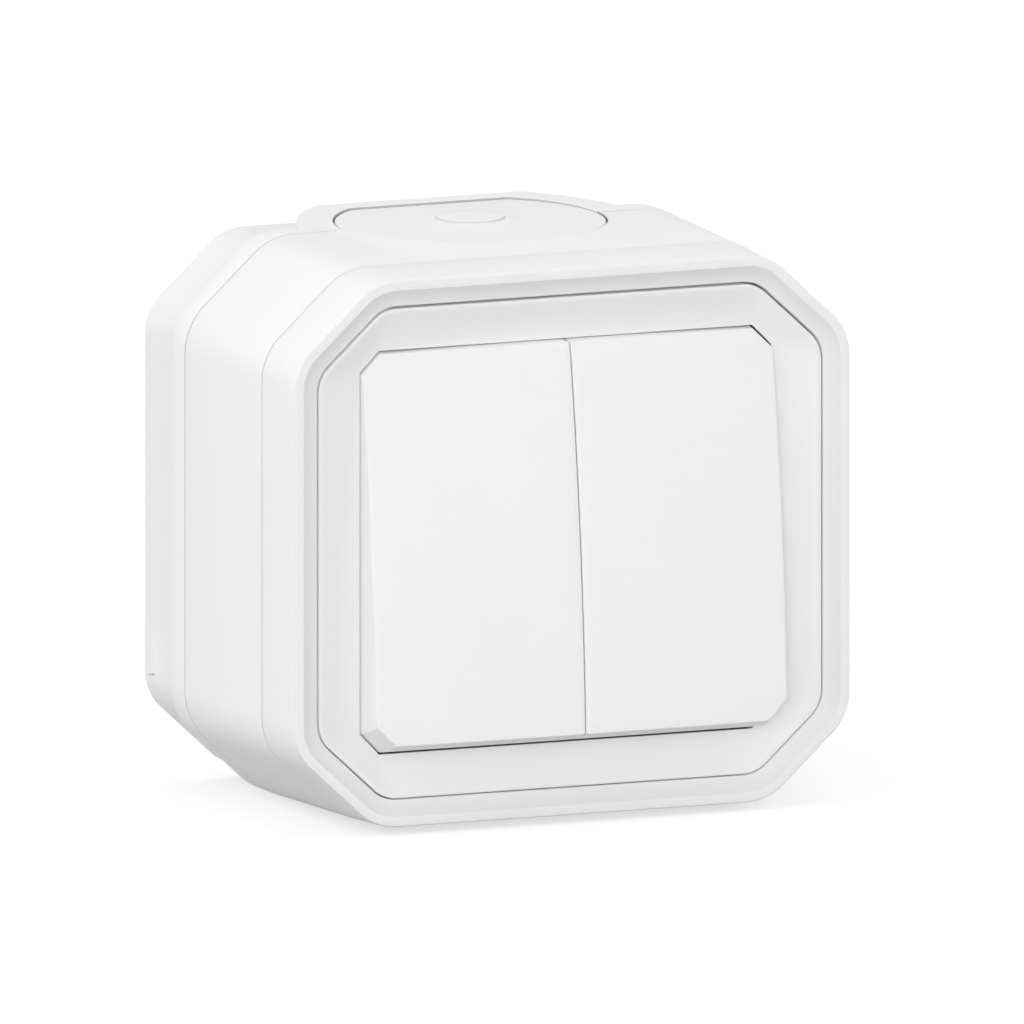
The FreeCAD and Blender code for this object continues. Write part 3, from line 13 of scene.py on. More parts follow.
import bmesh
import bpy
import numpy as np
from mathutils import Matrix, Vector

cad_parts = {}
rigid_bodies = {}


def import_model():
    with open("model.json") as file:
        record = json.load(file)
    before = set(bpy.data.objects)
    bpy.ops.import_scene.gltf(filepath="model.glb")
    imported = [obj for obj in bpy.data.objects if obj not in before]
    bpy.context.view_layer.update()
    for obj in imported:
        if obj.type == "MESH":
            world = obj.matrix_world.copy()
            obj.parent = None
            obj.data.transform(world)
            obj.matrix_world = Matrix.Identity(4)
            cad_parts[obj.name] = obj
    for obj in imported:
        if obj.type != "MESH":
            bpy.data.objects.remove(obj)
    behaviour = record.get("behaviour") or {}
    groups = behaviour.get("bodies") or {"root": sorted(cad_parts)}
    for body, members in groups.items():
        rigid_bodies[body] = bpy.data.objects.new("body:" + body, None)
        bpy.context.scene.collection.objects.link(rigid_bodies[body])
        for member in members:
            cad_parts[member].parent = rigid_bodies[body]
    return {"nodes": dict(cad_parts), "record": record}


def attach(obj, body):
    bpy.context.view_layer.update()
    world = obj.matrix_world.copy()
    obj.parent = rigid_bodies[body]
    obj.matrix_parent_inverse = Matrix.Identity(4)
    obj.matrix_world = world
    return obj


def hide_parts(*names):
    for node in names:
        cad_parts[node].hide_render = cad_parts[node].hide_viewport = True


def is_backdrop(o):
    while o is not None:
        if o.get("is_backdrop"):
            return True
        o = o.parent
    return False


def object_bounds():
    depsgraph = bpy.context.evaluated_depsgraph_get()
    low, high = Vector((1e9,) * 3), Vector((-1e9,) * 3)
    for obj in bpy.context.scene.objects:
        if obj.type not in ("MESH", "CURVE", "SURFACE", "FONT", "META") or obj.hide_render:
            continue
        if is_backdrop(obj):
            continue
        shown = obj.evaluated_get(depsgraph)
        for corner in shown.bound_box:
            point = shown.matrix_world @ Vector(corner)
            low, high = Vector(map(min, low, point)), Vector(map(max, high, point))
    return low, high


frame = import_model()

LOG = logging.getLogger("weatherproof_switch")
MM = 0.001
Array = np.ndarray
PAINTED_SHADE = "gap"  # attribute of painted shade: how much darker a face in a narrow gap, seam or slope is painted
WHITE = (1.0, 1.0, 1.0, 1.0)
CORNERS = 8  # corners of a rectangle with cut corners
SHARP_ANGLE = math.radians(32.0)  # edges stay sharp past it
MERGE_DISTANCE = 1e-7  # metres between points that count as one
LEAST_SINE = 1e-6  # keeps the reach of a flat finite
LEAST_ROUND = 1e-4  # corner radius of a sharp corner in a profile
ROUND_STEPS = 5  # divisions of a rounded corner in a profile
FACING = 0.7  # part of a normal along the axis that a face looks along
ACROSS = 0.3  # part of a normal along an axis that a face stands across


class Slot(Enum):
    """Material slots of the record."""

    CASE = "case_plastic"
    FRONT = "front_plastic"
    KEY = "key_plastic"
    GLAND = "gland_rubber"
    SEAL = "seal_rubber"
    FRAME = "frame_plastic"
    BLOCK = "block_plastic"
    COVER = "cover_plastic"
    CRADLE = "cradle_plastic"
    PLUNGER = "plunger_plastic"
    SPRING = "spring_steel"
    STEEL = "steel"
    COPPER = "copper"
    BRASS = "brass"
    CONTACT = "contact_metal"


class Body(Enum):
    """Bodies of the record that new pieces ride on."""

    CASE = "case"
    LEFT = "left_rocker"
    RIGHT = "right_rocker"


def full_turn(points: int) -> Array:
    """Return angles that divide a whole turn evenly."""
    return np.linspace(0, 2 * np.pi, points, endpoint=False)


def quarter_turn(points: int) -> Array:
    """Return angles from nothing to a quarter of a turn, both included."""
    return np.linspace(0, np.pi / 2, points)


def rounded_polygon(corners: Array, radii: Array, arc_steps: int, side_steps: int) -> Array:
    """Sample closed polygons with rounded corners.

    Each corner becomes an arc that is tangent to both of its sides, and each side between two arcs is divided
    evenly, so polygons with as many corners always match point by point.

    Args:
        corners: Corner points, shaped (..., corners, 2).
        radii: Radius of each corner, shaped (..., corners).
        arc_steps: Divisions of each arc.
        side_steps: Divisions of each straight side.

    Returns:
        Points shaped (..., corners * (arc_steps + side_steps), 2).
    """
    arriving = corners - np.roll(corners, 1, axis=-2)
    arriving = arriving / np.linalg.norm(arriving, axis=-1, keepdims=True)
    leaving = np.roll(arriving, -1, axis=-2)
    cross = arriving[..., 0] * leaving[..., 1] - arriving[..., 1] * leaving[..., 0]
    dot = np.sum(arriving * leaving, axis=-1)
    turn = np.arctan2(np.abs(cross), dot)
    tangent = radii * np.tan(turn / 2)
    normal = np.stack([-arriving[..., 1], arriving[..., 0]], axis=-1) * np.sign(cross)[..., None]
    first = corners - arriving * tangent[..., None]
    last = corners + leaving * tangent[..., None]
    centre = first + normal * radii[..., None]
    angle = turn[..., None] * np.linspace(0, 1, arc_steps + 1)
    swing = radii[..., None, None]
    arcs = (centre[..., None, :] - swing * np.cos(angle)[..., None] * normal[..., None, :]
            + swing * np.sin(angle)[..., None] * arriving[..., None, :])
    share = np.arange(1, side_steps)[:, None] / side_steps
    following = np.roll(first, -1, axis=-2)
    sides = last[..., None, :] + (following - last)[..., None, :] * share
    joined = np.concatenate([arcs, sides], axis=-2)
    return joined.reshape(*joined.shape[:-3], -1, 2)


def stepped_in(corners: Array, inset: Array) -> Array:
    """Move every side of a convex polygon inwards.

    Args:
        corners: Corner points in anticlockwise order, shaped (corners, 2).
        inset: Distance for each wanted polygon, shaped (n,).

    Returns:
        Corner points shaped (n, corners, 2).
    """
    side = np.roll(corners, -1, axis=0) - corners
    side = side / np.linalg.norm(side, axis=-1, keepdims=True)
    inward = np.stack([-side[:, 1], side[:, 0]], axis=-1)
    before = np.roll(inward, 1, axis=0)
    shift = (inward + before) / (1 + np.sum(inward * before, axis=-1))[:, None]
    return corners + np.asarray(inset)[:, None, None] * shift


def cut_rectangle(half_width: float, half_height: float, cut_x: float, cut_z: float) -> Array:
    """Return the eight corners of a rectangle with cut corners, anticlockwise from the right side."""
    quarter = np.array([[half_width, half_height - cut_z], [half_width - cut_x, half_height]])
    signs = np.array([[1, 1], [-1, 1], [-1, -1], [1, -1]])
    corners = [quarter[::order] * sign for sign, order in zip(signs, (1, -1, 1, -1))]
    return np.concatenate(corners)


class Skin:
    """Vertices and faces of one piece, gathered from grids of points."""

    def __init__(self) -> None:
        """Start without points and faces."""
        self.points: list[Array] = []
        self.quads: list[Array] = []
        self.caps: list[list[int]] = []
        self.count = 0

    def tube(self, rows: Array, closed: bool = False) -> "Skin":
        """Add a surface through a stack of closed loops.

        Args:
            rows: Points (x, depth, z), shaped (rows, columns, 3); the columns run round.
            closed: Whether the last loop joins the first; otherwise a flat cap closes each end.

        Returns:
            The skin itself.
        """
        height, width = rows.shape[:2]
        index = self.count + np.arange(height * width).reshape(height, width)
        upper = np.roll(index, -1, axis=0) if closed else index[1:]
        lower = index if closed else index[:-1]
        quads = np.stack([
            lower, np.roll(lower, -1, axis=1), np.roll(upper, -1, axis=1), upper], axis=-1)
        self.points.append(rows.reshape(-1, 3))
        self.quads.append(quads.reshape(-1, 4))
        if not closed:
            self.caps += [index[0, ::-1].tolist(), index[-1].tolist()]
        self.count += height * width
        return self

    def piece(self, name: str) -> bpy.types.Object:
        """Make the object, with its faces outwards and shaded smooth."""
        points = np.concatenate(self.points) * MM
        points[:, 1] *= -1
        mesh = bpy.data.meshes.new(name)
        mesh.from_pydata(points.tolist(), [], np.concatenate(self.quads).tolist() + self.caps)
        piece = bpy.data.objects.new(name, mesh)
        bpy.context.scene.collection.objects.link(piece)
        outwards(mesh)
        soften(mesh)
        return piece


def outwards(mesh: bpy.types.Mesh) -> None:
    """Merge doubled points and turn the faces of a closed mesh outwards."""
    work = bmesh.new()
    work.from_mesh(mesh)
    bmesh.ops.remove_doubles(work, verts=work.verts, dist=MERGE_DISTANCE)
    bmesh.ops.recalc_face_normals(work, faces=work.faces)
    work.to_mesh(mesh)
    work.free()


def soften(mesh: bpy.types.Mesh) -> None:
    """Shade a mesh smooth, with its edges sharp past a set angle."""
    mesh.shade_smooth()
    mesh.set_sharp_from_angle(angle=SHARP_ANGLE)


def paint_gap_shade(piece: bpy.types.Object, share: Callable[[Array, Array], Array]) -> None:
    """Paint shade on faces in narrow gaps, seams and slopes, for the finishes: a mark of how much darker each
    face's colour is painted.

    Args:
        piece: The finished piece.
        share: Gives the painted shade from 0 to 1 for the faces' middles (x, depth, z) in millimetres and
            their normals.
    """
    count = len(piece.data.polygons)
    middles, normals = np.empty(3 * count), np.empty(3 * count)
    piece.data.polygons.foreach_get("center", middles)
    piece.data.polygons.foreach_get("normal", normals)
    turned = np.array([1.0, -1.0, 1.0])
    marks = share(middles.reshape(-1, 3) / MM * turned, normals.reshape(-1, 3) * turned)
    attribute = piece.data.attributes.new(PAINTED_SHADE, "FLOAT", "FACE")
    attribute.data.foreach_set("value", marks.astype(np.float32))


def carved(piece: bpy.types.Object, tools: Sequence[tuple[str, bpy.types.Object]]) -> bpy.types.Object:
    """Join or cut a piece with other closed pieces, which are used up.

    Args:
        piece: The piece to change.
        tools: Pairs of an operation, UNION or DIFFERENCE, and the piece to work with.

    Returns:
        The piece itself.
    """
    for operation, tool in tools:
        step = piece.modifiers.new("carve", "BOOLEAN")
        step.operation = operation
        step.solver = "EXACT"
        step.object = tool
    bpy.context.view_layer.update()
    graph = bpy.context.evaluated_depsgraph_get()
    mesh = bpy.data.meshes.new_from_object(piece.evaluated_get(graph))
    piece.modifiers.clear()
    piece.data = mesh
    for _, tool in tools:
        bpy.data.objects.remove(tool)
    soften(mesh)
    return piece


@dataclass(frozen=True)
class CaseOutline:
    """Outline of the case seen from the front, which every shell steps in from."""

    half_width: float = 42.15
    half_height: float = 38.75
    cut_x: float = 12.7
    cut_z: float = 11.7
    radius: float = 9.0
    arc_steps: int = 14
    side_steps: int = 12

    def corners(self) -> Array:
        """Return the eight corners before rounding."""
        return cut_rectangle(self.half_width, self.half_height, self.cut_x, self.cut_z)

    def rows(self, inset: Array, depth: Array, radius: Array | None = None) -> Array:
        """Carry a profile round the outline.

        Each point of the profile becomes a loop: the outline stepped in by the point's inset, at its depth.

        Args:
            inset: Inset of each point of the profile.
            depth: Depth of each point of the profile.
            radius: Corner radius of each loop, by default what a parallel step leaves.

        Returns:
            Points shaped (profile points, loop points, 3).
        """
        corners = stepped_in(self.corners(), inset)
        rounding = self.radius - inset if radius is None else radius
        radii = np.repeat(np.asarray(rounding)[:, None], CORNERS, axis=1)
        flat = rounded_polygon(corners, radii, self.arc_steps, self.side_steps)
        levels = np.broadcast_to(np.asarray(depth)[:, None], flat.shape[:2])
        return np.stack([flat[..., 0], levels, flat[..., 1]], axis=-1)


def profile(points: Sequence[tuple[float, float, float]]) -> tuple[Array, Array]:
    """Round the corners of a closed profile.

    Args:
        points: Inset, depth and corner radius of each corner.

    Returns:
        Insets and depths along the profile.
    """
    table = np.array(points)
    line = rounded_polygon(table[:, :2], np.maximum(table[:, 2], LEAST_ROUND), ROUND_STEPS, 1)
    return line[:, 0], line[:, 1]


@dataclass
class CableEntry:
    """Seat of the cable gland in the top of the case, and the gland itself."""

    middle: float = 18.1
    top: float = 38.93
    radius: float = 18.5
    flat: float = 14.4
    gap: float = 0.25
    seat: float = 1.6
    lip: float = 3.7
    neck_inset: float = 2.9
    neck_length: float = 4.6
    neck_wall: float = 1.5
    hump_margin: float = 5.25
    hump_round: float = 0.3
    hump_rise: float = 0.23
    hump_fall: float = 0.4
    swell_land: float = 0.2
    swell_run: float = 4.05
    disc_fall: float = 0.06
    edge_round: float = 0.3
    step_outer: float = 11.7
    step_inner: float = 9.2
    step_rise: float = 0.33
    nipple_radius: float = 4.7
    nipple_rise: float = 0.3
    # painted shade of the ring round the nipple's side
    painted_nipple_shade: float = 0.35
    steps: int = 192

    def loop(self, radius: float, flat: float) -> Array:
        """Return a disc with a flat towards the wall.

        The distance from the middle is the radius, or less where the flat cuts the circle.

        Args:
            radius: Radius of the disc.
            flat: Distance of the flat from the middle.

        Returns:
            Points (x, depth), shaped (steps, 2).
        """
        angle = full_turn(self.steps)
        toward_wall = np.maximum(-np.sin(angle), LEAST_SINE)
        reach = np.minimum(radius, flat / toward_wall)
        return np.stack([reach * np.cos(angle), self.middle + reach * np.sin(angle)], axis=-1)

    def stack(self, loops: Sequence[tuple[float, float, float]]) -> Array:
        """Return loops given by radius, flat and height, one above the other."""
        rows = []
        for radius, flat, height in loops:
            flat_loop = self.loop(radius, flat)
            rows.append(np.column_stack([flat_loop, np.full(self.steps, height)]))
        return np.array(rows)

    def in_gap(self, middle: Array, normal: Array) -> Array:
        """Tell which faces lie on the wall of the disc's seat, where shade is painted.

        Args:
            middle: Middles of the faces, shaped (faces, 3).
            normal: Normals of the faces, shaped (faces, 3).

        Returns:
            One truth value per face.
        """
        x, depth = middle[:, 0], middle[:, 1] - self.middle
        distance = np.hypot(x, depth)
        toward_wall = np.maximum(-depth / distance, LEAST_SINE)
        wall = np.minimum(self.radius + self.gap, (self.flat + self.gap) / toward_wall)
        upright = np.abs(normal[:, 2]) < ACROSS
        return (np.abs(distance - wall) < self.gap) & upright & (middle[:, 2] > self.top - self.seat)

    def tools(self) -> list[tuple[str, bpy.types.Object]]:
        """Return the cuts for the seat of the disc and for the port of the neck."""
        seat_low = self.top - self.seat
        port_low = seat_low - self.neck_length - self.lip
        wide, wide_flat = self.radius + self.gap, self.flat + self.gap
        narrow, narrow_flat = wide - self.lip, wide_flat - self.neck_inset
        seat = Skin().tube(self.stack([
            (wide, wide_flat, seat_low), (wide, wide_flat, self.top + self.seat)]))
        port = Skin().tube(self.stack([
            (narrow, narrow_flat, port_low), (narrow, narrow_flat, self.top)]))
        return [("DIFFERENCE", seat.piece("seat_cut")), ("DIFFERENCE", port.piece("port_cut"))]


@dataclass
class CaseShells:
    """Rear base, middle housing and front collar, one outline behind the other."""

    outline: CaseOutline = field(default_factory=CaseOutline)
    entry: CableEntry = field(default_factory=CableEntry)
    wall: float = 2.2
    foot_inset: float = 1.74
    foot_depth: float = 12.5
    foot_round: float = 0.1
    root_round: float = 0.25
    rim_round: float = 0.9
    base_face: float = 17.88
    base_floor: float = 2.4
    floor_round: float = 0.5
    fixing_spacing: float = 60.0
    fixing_radius: float = 2.25
    fixing_points: int = 48
    housing_back: float = 18.1
    housing_front: float = 43.0
    draft: float = 0.65
    deck_front: float = 40.2
    deck_back: float = 38.0
    deck_round: float = 0.3
    collar_back: float = 43.22
    collar_front: float = 53.4
    collar_inset: float = 0.63
    collar_taper: float = 0.47
    collar_round: float = 0.25
    collar_inner_round: float = 0.3
    rim_band: float = 1.35
    band_round: float = 0.12
    bevel_width: float = 2.29
    bevel_depth: float = 0.8
    bevel_hollow: float = 0.6
    bevel_points: int = 7
    window_round: float = 0.1
    window_radius: float = 5.2
    plate_back: float = 49.2
    ledge_width: float = 1.8
    ledge_back: float = 47.6
    ledge_round: float = 0.2
    edge: float = 0.04
    # painted shade on the faces at the seams between the shells
    painted_seam_shade: float = 0.33
    # painted shade on the collar's bevel, darker the more it slopes
    painted_bevel_shade: float = 0.3
    # painted shade on the wall of the disc's seat, a dark line round the gland
    painted_disc_shade: float = 0.5
    tab_low: float = -23.7
    tab_height: float = 4.8
    tab_depth: float = 4.2
    tab_round: float = 2.6
    tab_points: int = 13
    groove: float = 0.09
    groove_overrun: float = 1.0
    groove_points: int = 10
    slot_start: float = 1.0
    slot_end: float = 3.6
    slot_rise: float = 0.15
    slot_width: float = 0.25
    slot_depth: float = 0.6
    slot_round: float = 0.1
    slot_arc_steps: int = 4
    slot_side_steps: int = 2
    hump_points: int = 9

    def base(self) -> bpy.types.Object:
        """Build the rear base: a stepped tub with the hump of the cable entry."""
        inset, depth = profile([
            (self.foot_inset + 2 * self.wall, 0.0, 0.0), (self.foot_inset, 0.0, self.foot_round),
            (self.foot_inset, self.foot_depth, self.root_round), (0.0, self.foot_depth, self.rim_round),
            (0.0, self.base_face, self.edge), (self.foot_inset + self.wall, self.base_face, self.edge),
            (self.foot_inset + self.wall, self.base_floor, self.floor_round),
            (self.foot_inset + 2 * self.wall, self.base_floor, 0.0),
        ])
        piece = Skin().tube(self.outline.rows(inset, depth)).piece("rear_base_shell")
        tools = [("UNION", self.hump().piece("hump"))] + self.entry.tools()
        for side in (-1, 1):
            fixing = self.fixing(side * self.fixing_spacing / 2)
            tools.append(("DIFFERENCE", fixing.piece("fixing_cut")))
            tools += self.tab(side)
        carved(piece, tools)
        # painted shade on the seam faces at the front of the base and on the wall of the disc's seat
        seam = self.base_face - self.edge
        paint_gap_shade(piece, lambda middle, normal: np.maximum(
            self.painted_seam_shade * ((normal[:, 1] > FACING) & (middle[:, 1] > seam)),
            self.painted_disc_shade * self.entry.in_gap(middle, normal)))
        return piece

    def tab(self, side: int) -> list[tuple[str, bpy.types.Object]]:
        """Return the cuts that mark a break-out tab in one side of the foot.

        A fine round groove follows the tab's outline, a line with a quarter circle at its corner, and a
        short slot lies below it.

        Args:
            side: Side of the case, -1 for the left and 1 for the right.

        Returns:
            The cuts of the groove and of the slot.
        """
        wall = self.outline.half_width - self.foot_inset
        tab_high = self.tab_low + self.tab_height
        angle = np.linspace(np.pi / 2, 0, self.tab_points)
        corner = np.stack([self.tab_depth - self.tab_round * (1 - np.cos(angle)),
                           tab_high - self.tab_round * (1 - np.sin(angle))], axis=-1)
        ends = np.array([[-self.groove_overrun, tab_high],
                         [self.tab_depth, self.tab_low + self.slot_width]])
        path = np.concatenate([ends[:1], corner, ends[1:]])
        along = np.gradient(path, axis=0)
        along = along / np.linalg.norm(along, axis=-1, keepdims=True)
        across = np.stack([-along[:, 1], along[:, 0]], axis=-1)
        around = full_turn(self.groove_points)
        flat = path[:, None] + self.groove * np.cos(around)[:, None] * across[:, None]
        out = np.broadcast_to(wall + self.groove * np.sin(around), flat.shape[:2])
        groove = Skin().tube(np.stack([side * out, flat[..., 0], flat[..., 1]], axis=-1))
        low, high = self.tab_low - self.slot_width / 2, self.tab_low + self.slot_width / 2
        rise = self.slot_rise * (self.slot_end - self.slot_start)
        corners = np.array([[self.slot_start, low], [self.slot_end, low + rise],
                            [self.slot_end, high + rise], [self.slot_start, high]])
        loop = rounded_polygon(corners, np.full(len(corners), self.slot_round),
                               self.slot_arc_steps, self.slot_side_steps)
        ends_of_slot = (wall - self.slot_depth, wall + self.wall)
        loops = [np.column_stack([np.full(len(loop), side * x), loop]) for x in ends_of_slot]
        slot = Skin().tube(np.array(loops))
        return [("DIFFERENCE", groove.piece("groove_cut")), ("DIFFERENCE", slot.piece("slot_cut"))]

    def fixing(self, x: float) -> Skin:
        """Return the cut of one wall screw hole, a round tube through the floor."""
        angle = full_turn(self.fixing_points)
        ring = np.stack([x + self.fixing_radius * np.cos(angle), np.zeros(self.fixing_points),
                         self.fixing_radius * np.sin(angle)], axis=-1)
        return Skin().tube(np.stack([ring - [0, self.wall, 0], ring + [0, 2 * self.wall, 0]]))

    def hump(self) -> Skin:
        """Return the raised round under the gland, cut off at the wall and at the front of the base.

        Its height depends on the distance from the middle of the entry: level, then a quarter round. The
        whole of it falls a little, in a straight line, from the wall to the front.
        """
        entry = self.entry
        reach = entry.radius + entry.hump_margin
        turn = quarter_turn(self.hump_points)
        levels = entry.top - entry.hump_round * (1 - np.cos(turn))
        radii = reach - entry.hump_round * (1 - np.sin(turn))
        low = entry.top - entry.hump_round - self.wall
        radii = np.concatenate([radii, [reach]])[::-1]
        levels = np.concatenate([levels, [low]])[::-1]
        angle = full_turn(entry.steps)
        depth = entry.middle + radii[:, None] * np.sin(angle)
        depth = np.clip(depth, self.edge, self.base_face - self.edge / 2)
        fallen = levels[:, None] + entry.hump_rise - entry.hump_fall * depth / self.base_face
        return Skin().tube(np.stack([radii[:, None] * np.cos(angle), depth, fallen], axis=-1))

    def swell(self) -> Skin:
        """Return the low cone that leads the housing up to the disc of the gland."""
        entry = self.entry
        edge = entry.radius + entry.gap + entry.swell_land
        foot = self.outline.half_height - self.draft
        radii = np.array([
            edge + entry.swell_run, edge + entry.swell_run, edge + self.edge, edge - self.edge])
        slope = (entry.top - foot) / entry.swell_run
        levels = np.array([foot - self.wall / 2, foot, entry.top - self.edge * slope, entry.top])
        angle = full_turn(entry.steps)
        depth = entry.middle + radii[:, None] * np.sin(angle)
        depth = np.maximum(depth, self.housing_back + self.edge / 2)
        rows = np.stack([radii[:, None] * np.cos(angle), depth,
                         np.repeat(levels[:, None], entry.steps, axis=1)], axis=-1)
        return Skin().tube(rows)

    def housing(self) -> bpy.types.Object:
        """Build the middle housing: a drafted tube with a deck across it."""
        inner = self.draft + self.wall
        inset, depth = profile([
            (0.0, self.housing_back, self.edge), (self.draft, self.housing_front, self.edge),
            (inner, self.housing_front, self.edge), (inner, self.deck_front, self.deck_round),
            (inner + self.wall, self.deck_front, 0.0), (inner + self.wall, self.deck_back, 0.0),
            (inner, self.deck_back, self.deck_round), (inner, self.housing_back, self.edge),
        ])
        rows = self.outline.rows(inset, depth)
        piece = Skin().tube(rows, closed=True).piece("middle_housing_shell")
        carved(piece, [("UNION", self.swell().piece("swell"))] + self.entry.tools())
        # painted shade on the seam faces at both ends of the housing and on the wall of the disc's seat
        low, high = self.housing_back + self.edge, self.housing_front - self.edge
        paint_gap_shade(piece, lambda middle, normal: np.maximum(
            self.painted_seam_shade * ((np.abs(normal[:, 1]) > FACING)
                               & ((middle[:, 1] < low) | (middle[:, 1] > high))),
            self.painted_disc_shade * self.entry.in_gap(middle, normal)))
        return piece

    def collar(self) -> bpy.types.Object:
        """Build the front collar: tapered outside, with a flat band and a slope down to its window.

        The slope falls by a parabola, steeper at the band than at the window.
        """
        band = self.collar_inset + self.collar_taper
        slope = band + self.rim_band
        window = slope + self.bevel_width
        share = np.linspace(0, 1, self.bevel_points)[1:-1]
        fall = self.bevel_depth * ((1 + self.bevel_hollow) * share - self.bevel_hollow * share ** 2)
        hollow = [(slope + self.bevel_width * along, self.collar_front - down, 0.0)
                  for along, down in zip(share, fall)]
        inset, depth = profile([
            (self.collar_inset, self.collar_back, self.edge), (band, self.collar_front, self.collar_round),
            (slope, self.collar_front, self.band_round), *hollow,
            (window, self.collar_front - self.bevel_depth, self.window_round),
            (window, self.plate_back, 0.0), (window + self.ledge_width, self.plate_back, self.ledge_round),
            (window + self.ledge_width, self.ledge_back, self.ledge_round),
            (band + self.wall, self.ledge_back, self.collar_inner_round),
            (band + self.wall, self.collar_back, self.edge),
        ])
        leads = [0.0, slope, window, window + self.ledge_width]
        corner = self.outline.radius
        radius = np.interp(inset, leads, [corner, corner - slope, self.window_radius,
                                          self.window_radius - self.ledge_width])
        rows = self.outline.rows(inset, depth, radius)
        piece = Skin().tube(rows, closed=True).piece("front_collar_ring")
        # painted shade on the seam faces at the back of the collar, and on the bevel, darker the more it
        # slopes
        seam = self.collar_back + self.edge
        low, high = self.collar_front - self.bevel_depth - self.edge, self.collar_front - self.edge
        paint_gap_shade(piece, lambda middle, normal: np.maximum(
            self.painted_seam_shade * ((normal[:, 1] < -FACING) & (middle[:, 1] < seam)),
            self.painted_bevel_shade * np.hypot(normal[:, 0], normal[:, 2])
            * ((normal[:, 1] > FACING) & (middle[:, 1] > low) & (middle[:, 1] < high))))
        return piece


@dataclass
class KeySurround:
    """Dished plate between the collar's window and the keys."""

    outline: CaseOutline = field(default_factory=CaseOutline)
    edge_inset: float = 5.02
    shift: tuple[float, float] = (0.04, -0.1)
    edge_radius: float = 4.8
    land: float = 0.5
    level: float = 52.6
    dish: float = 1.6
    hollow: float = 0.12
    wall: float = 1.8
    opening_half_width: float = 30.42
    opening_half_height: float = 27.74
    opening_cut: float = 2.84
    opening_relief: float = 0.2
    lower_gap: float = 0.16
    # painted shade on the bottom wall of the key opening
    painted_gap_shade: float = 0.4
    opening_radius: float = 0.3
    round_edge: float = 0.12
    edge_points: int = 6
    dish_points: int = 17

    def build(self) -> bpy.types.Object:
        """Build the plate.

        The dish runs from the level edge to the key opening by straight lines, with a parabola across them
        that hollows it a little.
        """
        steps = (self.outline.arc_steps, self.outline.side_steps)
        landed = np.array([self.edge_inset + self.land])
        outer = stepped_in(self.outline.corners(), landed)[0] + self.shift
        inner = cut_rectangle(
            self.opening_half_width, self.opening_half_height, self.opening_cut, self.opening_cut)
        inner[:, 1] -= self.lower_gap * (inner[:, 1] <= -self.opening_half_height)
        share = np.linspace(0, 1, self.dish_points)
        corners = outer + share[:, None, None] * (inner - outer)
        rim_radius = self.edge_radius - self.land / 2
        radii = rim_radius + share[:, None] * (self.opening_radius - rim_radius)
        dish = rounded_polygon(corners, np.repeat(radii, CORNERS, axis=1), *steps)
        depth = self.level - self.dish * share - 4 * self.hollow * share * (1 - share)
        levels = np.repeat(depth[:, None], dish.shape[1], axis=1)
        dish = np.stack([dish[..., 0], levels, dish[..., 1]], axis=-1)
        turn = quarter_turn(self.edge_points)[:-1]
        back = self.level - self.dish - self.wall
        edge_inset = self.edge_inset + self.round_edge * (1 - np.sin(turn))[::-1]
        edge_depth = self.level - self.round_edge * (1 - np.cos(turn))[::-1]
        outside = self.outline.rows(
            np.concatenate([[self.edge_inset], edge_inset]), np.concatenate([[back], edge_depth]),
            np.full(len(turn) + 1, self.edge_radius))
        outside[..., [0, 2]] += self.shift
        relieved = stepped_in(inner, np.array([-self.opening_relief]))
        inside = rounded_polygon(relieved, np.full((1, CORNERS), self.opening_radius), *steps)
        inside = np.stack([inside[..., 0], np.full(inside.shape[:2], back), inside[..., 1]], axis=-1)
        rows = np.concatenate([outside, dish, inside])
        piece = Skin().tube(rows, closed=True).piece("key_surround_plate")
        # painted shade on the bottom wall of the key opening, a darker gap under the keys
        low = self.opening_cut - self.opening_half_height
        paint_gap_shade(piece, lambda middle, normal: self.painted_gap_shade * (
            (normal[:, 2] > FACING) & (middle[:, 2] < low)))
        return piece


